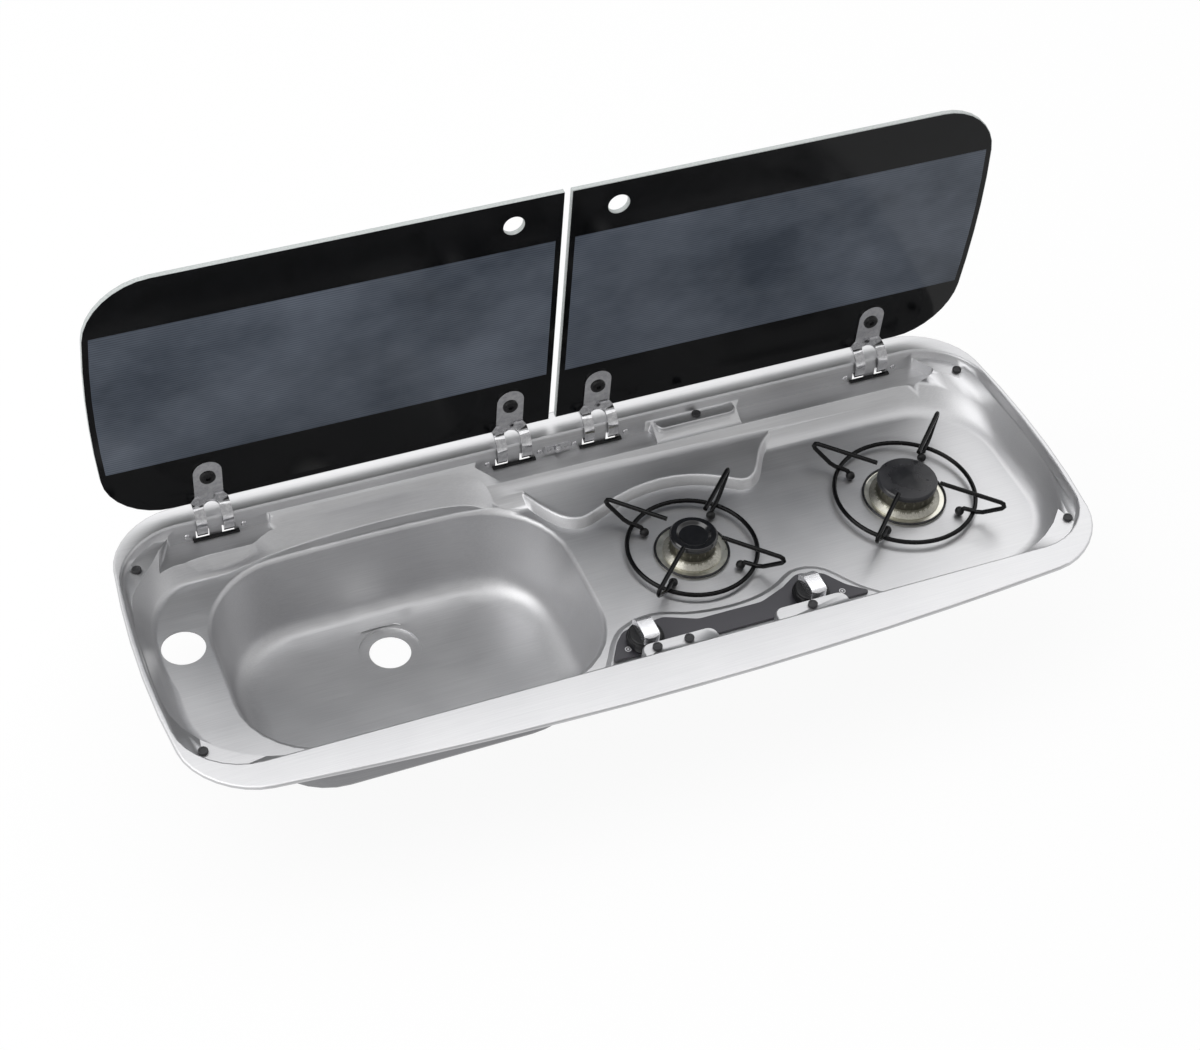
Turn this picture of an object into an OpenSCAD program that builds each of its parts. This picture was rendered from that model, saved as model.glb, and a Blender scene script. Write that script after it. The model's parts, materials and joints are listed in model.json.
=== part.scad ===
// Worktop hob and sink combination with two folding glass lids.
// Millimetres. The origin is the centre of the cut-out on the worktop's top face.
// +X is to the right, +Y to the hinge side and +Z up. Both lids are drawn open.

/* [Rim] */
// Half of the rim's width, at the middle of its bowed sides
rim_half_w = 450; // [440:1:470]
// Half of the rim's depth, at the middle
rim_half_d = 185; // [182:1:195]
// Rise of the front edge's bow
rim_bow_front = 23; // [15:1:28]
// Rise of the rear edge's bow
rim_bow_rear = 11; // [4:1:14]
// Rise of the side edges' bow
rim_bow_side = 16; // [10:1:20]
// Radius of the rim's outer corners
rim_corner_r = 57; // [50:1:65]
// Height of the rim's top above the worktop
rim_rise = 3; // [2.6:0.1:4]
// Width of the rim at the sides
rim_side_w = 6; // [6:0.5:9]
// Width of the rim at the front
rim_front_w = 47; // [42:1:52]
// Width of the rim at the back
rim_rear_w = 33; // [31:0.5:36]
// Thickness of the pressed sheet
sheet_t = 0.8; // [0.6:0.1:1]
// Width of the sealing strip
gasket_w = 1.4; // [1:0.1:1.6]

/* [Recess] */
// Radius of the recess's upper corners
recess_corner_r = 56; // [50:1:60]
// Bow of the recess's side walls
recess_bow = 11; // [6:1:14]
// Radius of the rolled edge round the recess
recess_roll_r = 2.4; // [1.6:0.1:2.8]
// Drop from the rim to the lid buffer ledges
ledge_drop = 9.5; // [9:0.5:12]
// Corner radius of the buffer ledges' inner edge
ledge_corner_r = 98; // [85:1:110]
// Drop from the rim to the hob floor
floor_drop = 40; // [38:1:46]
// Slope of the side walls in plan
side_run = 16; // [14:1:20]
// Slope of the front wall in plan
front_run = 19; // [14:1:22]
// Slope of the rear wall in plan
rear_run = 44; // [38:1:50]
// Corner radius at the foot of the walls
foot_corner_r = 80; // [70:1:90]
// Reach of the fillet at the foot of the walls
foot_fillet = 10; // [6:1:12]

/* [Rear wall] */
// Drop from the rim to the hinge pockets' ledge
pocket_drop = 22; // [21:0.5:24]
// Front edge of the hinge pockets, from the rear wall
pocket_d = 23; // [21:1:25]
// Height of the raised land above the hob floor
land_h = 10; // [6:1:12]
// Front of the wall pad, from the rear wall
pad_d = 15; // [12:1:18]
// Front face of the two front ledges, from the front wall
front_ledge_d = 20; // [16:1:22]

/* [Bowl] */
// Width of the bowl's opening
bowl_w = 342; // [320:2:350]
// Front to back size of the bowl's opening
bowl_d = 231; // [215:1:235]
// Centre of the bowl from the middle of the top
bowl_x = -203; // [-210:1:-200]
// Corner radius of the bowl
bowl_corner_r = 75; // [60:1:85]
// Depth of the bowl below the rim
bowl_drop = 129; // [110:1:150]
// Draft of the bowl's walls, in plan
bowl_draft = 10; // [6:1:16]
// Fillet between the bowl's walls and bottom
bowl_fillet = 27; // [18:1:34]
// Rolled edge of the bowl
bowl_roll_r = 5; // [3:0.5:6]
// Bore of the drain
drain_d = 40; // [36:1:44]
// Diameter of the drain's recessed seat
drain_seat_d = 60; // [54:1:66]
// Depth of the drain's recessed seat
drain_seat_h = 3; // [2:0.5:4]
// Bore for the tap
tap_hole_d = 40; // [33:1:42]

/* [Burners] */
// Centre of the small burner
burner_small_x = 80; // [76:1:84]
// Centre of the large burner
burner_large_x = 307; // [303:1:311]
// Radius of the small burner's well
well_small_r = 71; // [68:1:74]
// Radius of the large burner's well
well_large_r = 82; // [78:1:84]
// Depth of the wells
well_h = 3; // [2:0.5:4]
// Radius of the small burner's cap
cap_small_r = 23; // [20:0.5:24]
// Radius of the large burner's cap
cap_large_r = 29.5; // [26:0.5:30]
// Thickness of the burner caps' rim
cap_h = 6; // [5:0.5:7]
// Height of the burner bodies above their dish
burner_h = 18; // [14:1:19]
// Thickness of the burner dishes
dish_t = 1.5; // [1:0.1:2]

/* [Pan supports] */
// Diameter of the support wire
wire_d = 4.4; // [4:0.1:5]
// Radius of the small support's ring
ring_small_r = 62; // [58:1:64]
// Radius of the large support's ring
ring_large_r = 69; // [66:1:74]
// Reach of the fingers beyond the ring
finger_reach = 30; // [24:1:32]
// Height of the fingers' top above the well floor
finger_h = 34.5; // [32:0.5:35]
// Number of fingers on each support
finger_n = 4; // [3:1:5]
// Diameter of the rubber feet
foot_ball_d = 9; // [8:0.5:10]

/* [Lids] */
// Thickness of the glass
glass_t = 5; // [4:0.5:5]
// Gap from the glass to the recess's edge at the sides and front
lid_gap = 4; // [3.5:0.5:5]
// Gap from the glass to the recess's edge at the back
lid_rear_gap = 3.4; // [3.2:0.1:4]
// Gap between the two lids
lid_split = 7; // [6:0.5:10]
// Depth of the closed glass's top face below the rim
lid_sink = 1; // [0.5:0.5:1.5]
// Opening angle of the lids
lid_open = 87.4; // [80:0.1:90]
// Diameter of the finger holes
finger_hole_d = 20; // [16:1:24]
// Distance of the finger holes from the split
finger_hole_x = 50; // [40:1:60]
// Distance of the finger holes from the glass's rear edge
finger_hole_s = 256; // [250:1:262]
// Diameter of the lid buffers
buffer_d = 9; // [8:0.5:10]

/* [Hinges] */
// Distance of the outer hinges from the middle
hinge_outer_x = 340; // [336:1:344]
// Distance of the inner hinges from the middle
hinge_inner_x = 45; // [43:1:47]
// Pivot behind the recess's rear edge
pivot_y = 13.25; // [13:0.05:14]
// Pivot below the rim
pivot_drop = 8; // [7.5:0.1:8.5]
// Inner radius of the curved hinge legs
leg_r = 16.3; // [16:0.1:16.6]
// Thickness of the curved hinge legs
leg_t = 2.6; // [2:0.1:3]
// Width of each hinge leg
leg_w = 10; // [8:0.5:11]
// Width of a hinge arm over both legs
arm_w = 35; // [33:1:37]
// Width of the hinge tab
tab_w = 27; // [24:1:30]
// Length of the hinge tab on the glass
tab_l = 51.6; // [46:0.2:54]
// Thickness of the hinge tab
tab_t = 2; // [1.5:0.1:2]
// Distance of the clamp screw from the glass's rear edge
screw_s = 32; // [28:1:34]
// Diameter of the hinge pin
pin_d = 5; // [4:0.5:6]
// Running clearance on the hinge pin
pin_clear = 0.06; // [0.03:0.01:0.1]
// Thickness of the friction washers
washer_t = 0.9; // [0.8:0.1:1.2]
// Thickness of the hinge housings' plate
housing_t = 1.5; // [1.2:0.1:2]

/* [Controls] */
// Centre of the left knob
knob_left_x = -10; // [-12:1:-8]
// Centre of the right knob
knob_right_x = 157; // [155:1:159]
// Distance of the knobs from the middle, to the front
knob_y = 96; // [95:1:97]
// Diameter of the knobs' skirt
knob_d = 35; // [32:1:35]
// Height of the knobs' skirt
skirt_h = 10; // [9:1:11]
// Height of the grip above the skirt
grip_h = 11.5; // [10:0.5:12]
// Width of the grip
grip_w = 15; // [13:1:17]
// Travel of the knobs when pressed
knob_push = 3; // [2:0.5:3]
// Thickness of the control strip
strip_t = 3; // [2:0.5:3]
// Height of the raised base under the control strip
base_h = 2.5; // [1.5:0.5:3]
// Diameter of the tap spindles
spindle_d = 8; // [6:1:9]

/* [Gas train] */
// Diameter of the gas rail
rail_d = 15; // [12:1:18]
// Diameter of the burner feed pipes
feed_d = 8; // [6:1:8]
// Diameter of the gas inlet pipe
inlet_d = 8; // [8:1:10]

/* [Hidden] */

$fn = 64;
big = 400;
// Points in a rounded corner and along the long and the short sides of a bowed outline
corner_n = 8;
long_n = 11;
short_n = 4;

// Gap that a piece keeps from what it rests on
seat_gap = 0.3;
recess_half_w = rim_half_w - rim_side_w;
recess_front = rim_half_d - rim_front_w;
recess_rear = rim_half_d - rim_rear_w;
// Set back of the recess's wall just above and on the buffer ledges
wall_in = 1.8;
step_in = 3;
step_h = 0.3;
floor_z = -floor_drop;
well_z = floor_z - well_h;
base_z = floor_z + base_h;
wall_y = recess_rear - wall_in;
// Side outlines: half width, front, rear, corner radius, side bow, front bow, rear bow
rim_line = [rim_half_w, rim_half_d, rim_half_d, rim_corner_r, rim_bow_side, rim_bow_front, rim_bow_rear];
edge_line = [recess_half_w, recess_front, recess_rear, recess_corner_r, recess_bow, 0, 0];
ledge_back = edge_line - wall_in * [1, 1, 1, 1, 0, 0, 0];
ledge_line = [recess_half_w - step_in, recess_front - step_in, recess_rear - step_in,
    ledge_corner_r, recess_bow - 2, 0, 0];
foot_line = [recess_half_w - side_run, recess_front - front_run, recess_rear - rear_run,
    foot_corner_r, recess_bow - 9, 0, 0];
// The walls at the height of the hinge pockets' ledge
mid_line = [recess_half_w - side_run / 2, recess_front - front_run * 0.45, recess_rear - wall_in - pocket_d,
    foot_corner_r - 4, recess_bow - 6, 0, 0];

glass_top = -lid_sink;
glass_low = glass_top - glass_t;
lid_back = recess_rear - lid_rear_gap;
lid_line = [recess_half_w - lid_gap, recess_front - lid_gap, lid_back, recess_corner_r,
    recess_bow - 1, 0, 0];
pivot = [0, recess_rear + pivot_y, -pivot_drop];
leg_out = leg_r + leg_t;
// The tab's face against the glass, above the pivot when closed
tab_top = glass_low + pivot_drop;
// Angles round the pivot, lids closed: 180 is towards the front
leg_end = 294.4;
web_a = 11;
hub_r = 5;
screw_y = lid_back - screw_s;
buffer_top = glass_low - seat_gap;

bowl_y = 3.75;
bowl_bow = 7;
bowl_line = [bowl_w / 2, bowl_d / 2, bowl_d / 2, bowl_corner_r, 2, 0, bowl_bow];
drain_at = [bowl_x - 1.5, 52];
drain_z = -bowl_drop - 1.5;
tap_at = [42.5 - recess_half_w, 40.3];
burner_y = 1;
// Ends of the wall pad, left ends of the two front ledges, and their width
pad_x = [100, 186];
front_ledge_x = [-26, 105];
front_ledge_w = 73;
// Depth of a drill that goes through the sheet
drill_h = 20;

// Helpers

function mix(a, b, t) = a + (b - a) * t;
function bend(a, b, c, t) = mix(mix(a, b, t), mix(b, c, t), t);
function unit(v) = v / norm(v);
function at_z(points, z) = [for (p = points) [p[0], p[1], z]];
function moved(points, v) = [for (p = points) p + v];

// Rectangle with rounded corners and bowed sides, grown outwards by g
function bowed(line, g = 0) =
    let (w = line[0] + g - line[4],
        f = line[1] + g - line[5],
        b = line[2] + g - line[6],
        r = max(0.2, line[3] + g))
    [for (q = [0:3])
        let (sx = q < 2 ? 1 : -1,
            sy = q == 1 || q == 2 ? 1 : -1,
            c = [sx * (w - r), sy * ((sy > 0 ? b : f) - r)],
            next_sx = q == 0 || q == 3 ? 1 : -1,
            next_sy = q == 0 || q == 1 ? 1 : -1,
            next_c = [next_sx * (w - r), next_sy * ((next_sy > 0 ? b : f) - r)],
            a0 = 90 * q - 90,
            n = q % 2 == 0 ? short_n : long_n,
            out = r * [cos(a0 + 90), sin(a0 + 90)])
        each [
            for (k = [0:corner_n])
                let (a = a0 + 90 * k / corner_n) bow_out(c + r * [cos(a), sin(a)], line, w, f, b),
            for (k = [1:n]) bow_out(mix(c, next_c, k / (n + 1)) + out, line, w, f, b)
        ]
    ];

function bow_out(p, line, w, f, b) =
    let (reach = p[1] > 0 ? b : f,
        rise = p[1] > 0 ? line[6] : line[5],
        u = p[0] / w,
        v = p[1] / reach)
    [p[0] * (1 + line[4] / w * (1 - v * v)), p[1] * (1 + rise / reach * (1 - u * u))];

// Outline with rounded corners [x, y, radius], anticlockwise, grown outwards by g
function outline(c, g = 0, n = 5) =
    [for (i = [0:len(c) - 1])
        let (p = c[(i + len(c) - 1) % len(c)],
            q = c[i],
            s = c[(i + 1) % len(c)],
            n1 = edge_normal(p, q),
            n2 = edge_normal(q, s),
            turn = n1[0] * n2[1] > n1[1] * n2[0] ? 1 : -1,
            open = 1 + n1 * n2,
            v = [q[0], q[1]] + (n1 + n2) * (g / open),
            r = max(0.1, q[2] + g * turn),
            m = v - (n1 + n2) * (turn * r / open),
            a = atan2(n1[1], n1[0]),
            sweep = turn * acos(n1 * n2))
        for (k = [0:n]) m + turn * r * [cos(a + sweep * k / n), sin(a + sweep * k / n)]
    ];

function edge_normal(p, q) = let (d = unit([q[0] - p[0], q[1] - p[1]])) [d[1], -d[0]];

// Solid through rings of equal length, given from the lowest upwards. Its ends are fans
// about their middle, or strips between the two halves of a ring that is paired.
module loft(rings, paired = false) {
    m = len(rings[0]);
    n = len(rings);
    top = (n - 1) * m;
    middle = n * m;
    ends = [rings[0], rings[n - 1]];
    polyhedron(
        points = [for (r = rings) each r, if (!paired) for (r = ends) (r[0] + r[m / 2]) / 2],
        faces = [
            if (paired) each [for (j = [0:m / 2 - 2]) each [
                [j, j + 1, m - 2 - j, m - 1 - j],
                [top + m - 1 - j, top + m - 2 - j, top + j + 1, top + j]
            ]],
            if (!paired) each [for (j = [0:m - 1]) each [
                [middle, j, (j + 1) % m],
                [middle + 1, top + (j + 1) % m, top + j]
            ]],
            for (i = [0:n - 2], j = [0:m - 1])
                each let (a = i * m + j, b = i * m + (j + 1) % m)
                    [[a, a + m, b + m], [a, b + m, b]]
        ]);
}

// Round bar that follows points in the XZ plane
module bar(path, d, sides = 10) {
    n = len(path);
    loft([for (i = [n - 1:-1:0])
        let (before = unit(path[max(i, 1)] - path[max(i, 1) - 1]),
            after = unit(path[min(i, n - 2) + 1] - path[min(i, n - 2)]),
            along = unit(before + after),
            widen = 1 / (along * after),
            side = [along[2], 0, -along[0]] * widen)
        [for (k = [0:sides - 1])
            let (a = -360 * k / sides)
                path[i] + d / 2 * (cos(a) * side + sin(a) * [0, 1, 0])]
    ]);
}

module at_rim() translate([0, 0, rim_rise]) children();

// From the lids' closed pose to the open one
module opened()
    translate(pivot) rotate([-lid_open, 0, 0]) translate(-pivot) children();

// Profile in the YZ plane, extruded along X
module across(w) rotate([90, 0, 90]) linear_extrude(w, center = true) children();

module at_all(xs) for (x = xs) translate([x, 0, 0]) children();

// Top pressing. Each hollow is drawn as a void: g is 0 for the upper side of the sheet
// and the sheet's thickness for its under side.

module recess_void(g) {
    start_z = mix(-pocket_drop, floor_z, 0.5);
    start = mix(mid_line, foot_line, 0.5);
    end = foot_line - foot_fillet * [1, 1, 1, 1, 0, 0, 0];
    loft([
        at_z(bowed(end), floor_z - g),
        for (t = [0.75, 0.5, 0.25])
            at_z(bowed(bend(start, foot_line, end, t), g * (0.75 - t * 0.65)),
                bend(start_z, floor_z, floor_z, t) - g * (0.65 + 0.35 * t)),
        at_z(bowed(start, 0.75 * g), start_z - 0.6 * g),
        at_z(bowed(mid_line, 0.75 * g), -pocket_drop - 0.5 - 0.6 * g),
        at_z(bowed(ledge_line, 0.6 * g), -ledge_drop - 0.8 * g),
        at_z(bowed(ledge_back, 0.8 * g), step_h - ledge_drop - 0.6 * g),
        at_z(bowed(edge_line, g), -recess_roll_r - 0.1 * g),
        at_z(bowed(edge_line, 0.3 * recess_roll_r + 0.7 * g), -0.3 * recess_roll_r - 0.7 * g),
        at_z(bowed(edge_line, recess_roll_r + 0.2 * g), -g),
        at_z(bowed(edge_line, recess_roll_r + 0.3 * g + 0.05), g == 0 ? 1 : -g / 2)
    ]);
}

// Left of the land the rear wall stands further back than the slope on the right. Its lines go from
// right to left: [x, y] from the middle and then from the recess's left side, y from its rear edge
function behind_bowl(from_middle, from_side) =
    [
        for (p = from_middle) [p[0], recess_rear + p[1]],
        for (p = from_side) [p[0] - recess_half_w, recess_rear + p[1]]
    ];

// At the floor, at the foot of the wall, at the pockets' ledge and at the buffer ledges
back_end = behind_bowl(
    [[-60, -74], [-68, -60], [-75, -47], [-86, -35], [-108, -24.5], [-146, -20.8], [-184, -20],
     [-228, -21.5], [-266, -24.2], [-290, -27], [-306, -29], [-321, -33], [-340, -37.5]],
    [[82, -39.5], [62, -41.5], [48, -49.5], [36.5, -61.5], [28.5, -77], [23, -97], [22, -128],
     [25, -158], [32, -186], [41, -212]]);
back_foot = behind_bowl(
    [[-54, -70], [-64, -55], [-73, -41], [-87, -29.5], [-110, -20.5], [-146, -16.4], [-184, -15.6],
     [-228, -17.5], [-266, -20.2], [-290, -24.4], [-306, -27.4], [-321, -31.4], [-341, -34.4]],
    [[80, -33.5], [58, -34.5], [42, -44], [30, -57], [22, -74], [17.5, -96], [17, -128], [20, -158],
     [27, -186], [36, -212]]);
back_mid = behind_bowl(
    [[-50, -60], [-62, -44], [-74, -31], [-90, -18.5], [-114, -10.5], [-146, -8.5], [-184, -8.5],
     [-228, -8.5], [-268, -9.5], [-292, -13], [-308, -23], [-324, -29.5], [-343, -31.5]],
    [[80, -29.5], [56, -28.5], [39, -36], [26, -51], [16, -69], [11, -92], [10, -126], [13, -158],
     [20, -186], [30, -212]]);
back_top = behind_bowl(
    [[-50, -48], [-60, -32], [-71, -18], [-88, -7.5], [-114, -4.5], [-146, -4.5], [-184, -4.5],
     [-228, -4.5], [-270, -4.5], [-296, -4.5], [-314, -4.5], [-330, -4.5], [-346, -4.5]],
    [[80, -4.5], [57, -5.5], [38, -29], [23, -47.5], [11, -64], [6, -88], [5.5, -124], [8, -158],
     [15, -186], [25, -212]]);

function back_ring(line, g, z) =
    let (p = curve(line, 2), n = len(p))
    [for (i = [0:n - 1])
        let (d = edge_normal(p[max(i - 1, 0)], p[min(i + 1, n - 1)]))
            [p[i][0] + g * d[0], p[i][1] + g * d[1], z]];

module back_void(g)
    loft([
        back_ring(back_end, 0, floor_z - g),
        back_ring(mix(back_end, back_foot, 0.6), 0.4 * g, floor_z + 1.2 - 0.9 * g),
        back_ring(back_foot, 0.7 * g, floor_z + 4.5 - 0.6 * g),
        back_ring(back_mid, 0.9 * g, -pocket_drop - 0.5 - 0.5 * g),
        back_ring(back_top, 0.9 * g, -ledge_drop - 0.4 * g),
        if (g == 0) back_ring(back_top, 0, 1 - ledge_drop)
    ]);

// Hinge pockets: level ledges cut into the rear slope
module pocket_void(g) {
    back = wall_y;
    front = wall_y - pocket_d - 3;
    end = recess_half_w - 40;
    middle_end = pad_x[0] - 2;
    for (c = [
        [[-end, front - 8, 4], [40 - hinge_outer_x, front - 8, 4],
            [53 - hinge_outer_x, back, 3], [19 - end, back, 6]],
        [[-hinge_inner_x - 15, front, 12], [middle_end, front, 8],
            [middle_end, back, 6], [-hinge_inner_x - 47, back, 3]],
        [[pad_x[1] + 2, front, 8], [end, front, 4], [end - 17, back, 6], [pad_x[1] + 2, back, 6]]
    ])
        translate([0, 0, -pocket_drop - g])
            linear_extrude(pocket_drop + g - 5) polygon(outline(c, g));
}

module bowl_void(g) {
    low = bowl_line - bowl_draft * [1, 1, 1, 0.6, 0, 0, 0];
    end = low - bowl_fillet * [1, 1, 1, 0.6, 0, 0, 0];
    c = [bowl_x, bowl_y, 0];
    drain = [drain_at[0], drain_at[1], 0];
    loft([
        [for (p = moved(at_z(bowed(end), 0), c))
            drain + (drain_seat_d / 2 + 5) * unit(p - drain) + [0, 0, drain_z - g]],
        moved(at_z(bowed(end), -bowl_drop - g), c),
        for (t = [0.75, 0.5, 0.25])
            moved(at_z(bowed(bend(low, low, end, t), g * (1 - t)),
                bend(-bowl_drop + bowl_fillet, -bowl_drop, -bowl_drop, t) - g * t), c),
        moved(at_z(bowed(low, g), -bowl_drop + bowl_fillet), c),
        moved(at_z(bowed(bowl_line, g), floor_z - bowl_roll_r), c),
        moved(at_z(bowed(bowl_line, 0.3 * bowl_roll_r + 0.7 * g), floor_z - 0.3 * bowl_roll_r - 0.7 * g), c),
        moved(at_z(bowed(bowl_line, bowl_roll_r + g), floor_z - (g > 0 ? g : 0)), c),
        moved(at_z(bowed(bowl_line, bowl_roll_r + 0.05 + g), floor_z + 12 - g), c)
    ]);
    translate([drain[0], drain[1], drain_z - drain_seat_h - g])
        cylinder(r = drain_seat_d / 2 + g, h = drain_seat_h + 2);
}

// Shallow round well under each burner
module well_void(x, r, g) {
    top = g > 0 ? floor_z - g / 2 : floor_z + 1;
    translate([x, burner_y, 0]) rotate_extrude()
        polygon([[0, well_z - g], [r - 6 + g / 2, well_z - g], [r + g / 2, floor_z - g],
            [r + g / 2, top], [0, top]]);
}

// Raised bumps of the sheet, smaller and lower on its under side
module ledge_bump(x0, x1, y0, y1, h, g) {
    c = [[x0, y0, 9], [x1, y0, 9], [x1, y1, 9], [x0, y1, 9]];
    loft([
        at_z(outline(c, 4 - g), floor_z - 2),
        at_z(outline(c, 1.5 - g), floor_z + 4),
        at_z(outline(c, -g), -h - 1.5),
        at_z(outline(c, -1.2 - g), -h - g)
    ]);
}

land_points = [[-56, 134], [-51, 122], [-44, 106], [-35, 89], [-25, 75], [-13, 67], [0, 67],
    [22, 76], [52, 86],
    [84, 90], [114, 86], [140, 75], [160, 63], [172, 65], [182, 76], [194, 96],
        [206, 109], [222, 122], [236, 134]];

// Smooth curve through the points
function curve(p, n) =
    [for (i = [1:len(p) - 3], k = [0:n - 1])
        let (t = k / n)
            0.5 * (2 * p[i] + (p[i + 1] - p[i - 1]) * t
                + (2 * p[i - 1] - 5 * p[i] + 4 * p[i + 1] - p[i + 2]) * t * t
                + (3 * p[i] - p[i - 1] - 3 * p[i + 1] + p[i + 2]) * t * t * t)];

function land_ring(g, z) =
    let (p = curve(land_points, 2), n = len(p), back = wall_y + 6)
    [
        for (i = [0:n - 1])
            let (d = edge_normal(p[max(i - 1, 0)], p[min(i + 1, n - 1)]))
                [p[i][0] + g * d[0], p[i][1] + g * d[1], z],
        for (i = [n - 1:-1:0]) [p[i][0], back, z]
    ];

module land_bump(g)
    loft([
        land_ring(5 - 0.6 * g, floor_z - 1 - g),
        land_ring(4 - 0.6 * g, floor_z + 0.6 - 0.4 * g),
        land_ring(0.5 - 0.7 * g, floor_z + land_h - 2 - 0.6 * g),
        land_ring(-2.5 - 0.4 * g, floor_z + land_h - g)
    ], paired = true);

// Raised base under the controls, its rear edge given from left to right
base_points = [[-58, -128], [-51, -114], [-42, -100], [-33.5, -86], [-21, -73], [0, -66.5], [20, -67.5],
    [41, -75], [63, -79],
    [87, -80.5], [108, -79], [126, -74.5], [142, -67.5], [156, -59.5], [172, -59.5],
        [186, -67], [197, -82], [208, -97],
    [222, -110], [236, -120], [244, -128]];

function base_ring(g, z) =
    let (p = curve(base_points, 2),
        n = len(p),
        grown = [for (i = [0:n - 1]) p[i] - g * edge_normal(p[max(i - 1, 0)], p[min(i + 1, n - 1)])])
    [
        for (q = grown) [q[0], -recess_front, z],
        for (i = [n - 1:-1:0]) [grown[i][0], grown[i][1], z]
    ];

module base_bump(g)
    loft([
        base_ring(6 - 0.6 * g, floor_z - 1 - g),
        base_ring(4.8 - 0.6 * g, floor_z + 0.4 - 0.4 * g),
        base_ring(1 - 0.7 * g, floor_z + base_h - 0.6 - 0.6 * g),
        base_ring(-0.6 - 0.4 * g, floor_z + base_h - g)
    ], paired = true);

module form(g)
    difference() {
        union() {
            recess_void(g);
            back_void(g);
            bowl_void(g);
            well_void(burner_small_x, well_small_r, g);
            well_void(burner_large_x, well_large_r, g);
        }
        land_bump(g);
        base_bump(g);
        ledge_bump(pad_x[0], pad_x[1], wall_y - pad_d, wall_y + 6, ledge_drop, g);
        for (x = front_ledge_x)
            ledge_bump(x, x + front_ledge_w, -recess_front - 8, -recess_front + front_ledge_d, ledge_drop, g);
    }

module rim_plate()
    difference() {
        loft([
            at_z(bowed(rim_line), -rim_rise),
            at_z(bowed(rim_line), -2),
            at_z(bowed(rim_line, -0.6), -0.6),
            at_z(bowed(rim_line, -2), 0)
        ]);
        translate([0, 0, -rim_rise - 1]) linear_extrude(rim_rise + 1 - sheet_t)
            polygon(bowed(rim_line, -sheet_t));
    }

// Buffers: four in the corners, one on the wall pad and three on the front ledges
corner_buffer = [recess_half_w - 22, recess_rear - 35, 32 - recess_front];
front_buffer_y = 12 - recess_front;
buffer_at = [[-corner_buffer[0], corner_buffer[1]], [corner_buffer[0], corner_buffer[1]],
    [1 - corner_buffer[0], corner_buffer[2]], [corner_buffer[0], corner_buffer[2]],
        [pad_x[0] + 44, recess_rear - 9],
    [front_ledge_x[1] + 37, front_buffer_y], [front_ledge_x[0] + 45, front_buffer_y],
    [front_ledge_x[0] + 14, front_buffer_y]];
hinge_xs = [-hinge_outer_x, -hinge_inner_x, hinge_inner_x, hinge_outer_x];
// Each leg has its own slot
slot_w = leg_w + 3;
slot_x = (arm_w - leg_w) / 2;
slot_drop = 11.5;
slot_h = pocket_drop - 0.5 - slot_drop;
rivet_dx = 27;
rivet_z = -16;
rivet_d = 3.2;

module top_pressing() color("silver")
    at_rim() difference() {
        union() {
            rim_plate();
            form(sheet_t);
            pocket_void(sheet_t);
        }
        form(0);
        pocket_void(0);
        translate([drain_at[0], drain_at[1], drain_z - drill_h / 2]) cylinder(d = drain_d, h = drill_h);
        translate([tap_at[0], tap_at[1], floor_z - drill_h / 2]) cylinder(d = tap_hole_d, h = drill_h);
        for (p = [[burner_small_x, cap_small_r], [burner_large_x, cap_large_r]])
            translate([p[0], burner_y, well_z - 5]) cylinder(r = p[1] + 1, h = 10);
        for (x = [knob_left_x, knob_right_x])
            translate([x, -knob_y, floor_z - 5]) cylinder(d = spindle_d + 4, h = 10);
        at_all(hinge_xs) {
            for (s = [-1, 1]) {
                translate([s * slot_x - slot_w / 2, wall_y - 2, -slot_drop - slot_h])
                    cube([slot_w, 6, slot_h]);
                translate([s * rivet_dx, wall_y - 2, rivet_z]) rotate([-90, 0, 0])
                    cylinder(d = rivet_d + 0.1, h = 6);
            }
        }
        for (p = buffer_at)
            translate([p[0], p[1], -ledge_drop - 3]) cylinder(d = 4, h = 6);
    }

module rim_gasket() color("dimgray")
    difference() {
        linear_extrude(rim_rise - sheet_t) polygon(bowed(rim_line, -sheet_t - 0.2));
        translate([0, 0, -1]) linear_extrude(rim_rise + 2)
            polygon(bowed(rim_line, -sheet_t - 0.2 - gasket_w));
    }

module lid_buffers() color("dimgray")
    at_rim() for (p = buffer_at) translate([p[0], p[1], 0]) {
        translate([0, 0, -ledge_drop + seat_gap])
            cylinder(d = buffer_d, h = buffer_top + ledge_drop - seat_gap);
        translate([0, 0, -ledge_drop - 2]) cylinder(d = 3.8, h = 3);
    }

// Glass lids, drawn closed and turned open

module lid_half(side, g = 0)
    intersection() {
        polygon(bowed(lid_line, g));
        translate([side > 0 ? lid_split / 2 - g : -big * 2 - lid_split / 2 + g, -big])
            square([big * 2, big * 2]);
    }

module lid_glass(side, xs) color("dimgray")
    at_rim() opened() difference() {
        translate([0, 0, glass_low]) linear_extrude(glass_t) lid_half(side);
        translate([side * finger_hole_x, lid_back - finger_hole_s, glass_low - 1])
            cylinder(d = finger_hole_d, h = glass_t + 2);
        at_all(xs) translate([0, screw_y, glass_low - 1]) cylinder(d = 9, h = glass_t + 2);
    }

module sink_lid_glass() lid_glass(-1, [-hinge_outer_x, -hinge_inner_x]);
module hob_lid_glass() lid_glass(1, [hinge_inner_x, hinge_outer_x]);

// Hinge arm: a tab on the glass, two curved legs and a hub round the pin

module sector(r0, r1, a0, a1)
    difference() {
        intersection() {
            circle(r = r1);
            polygon([[0, 0], 40 * [cos(a0), sin(a0)], 40 * [cos((a0 + a1) / 2), sin((a0 + a1) / 2)],
                40 * [cos(a1), sin(a1)]]);
        }
        circle(r = r0);
    }

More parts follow.
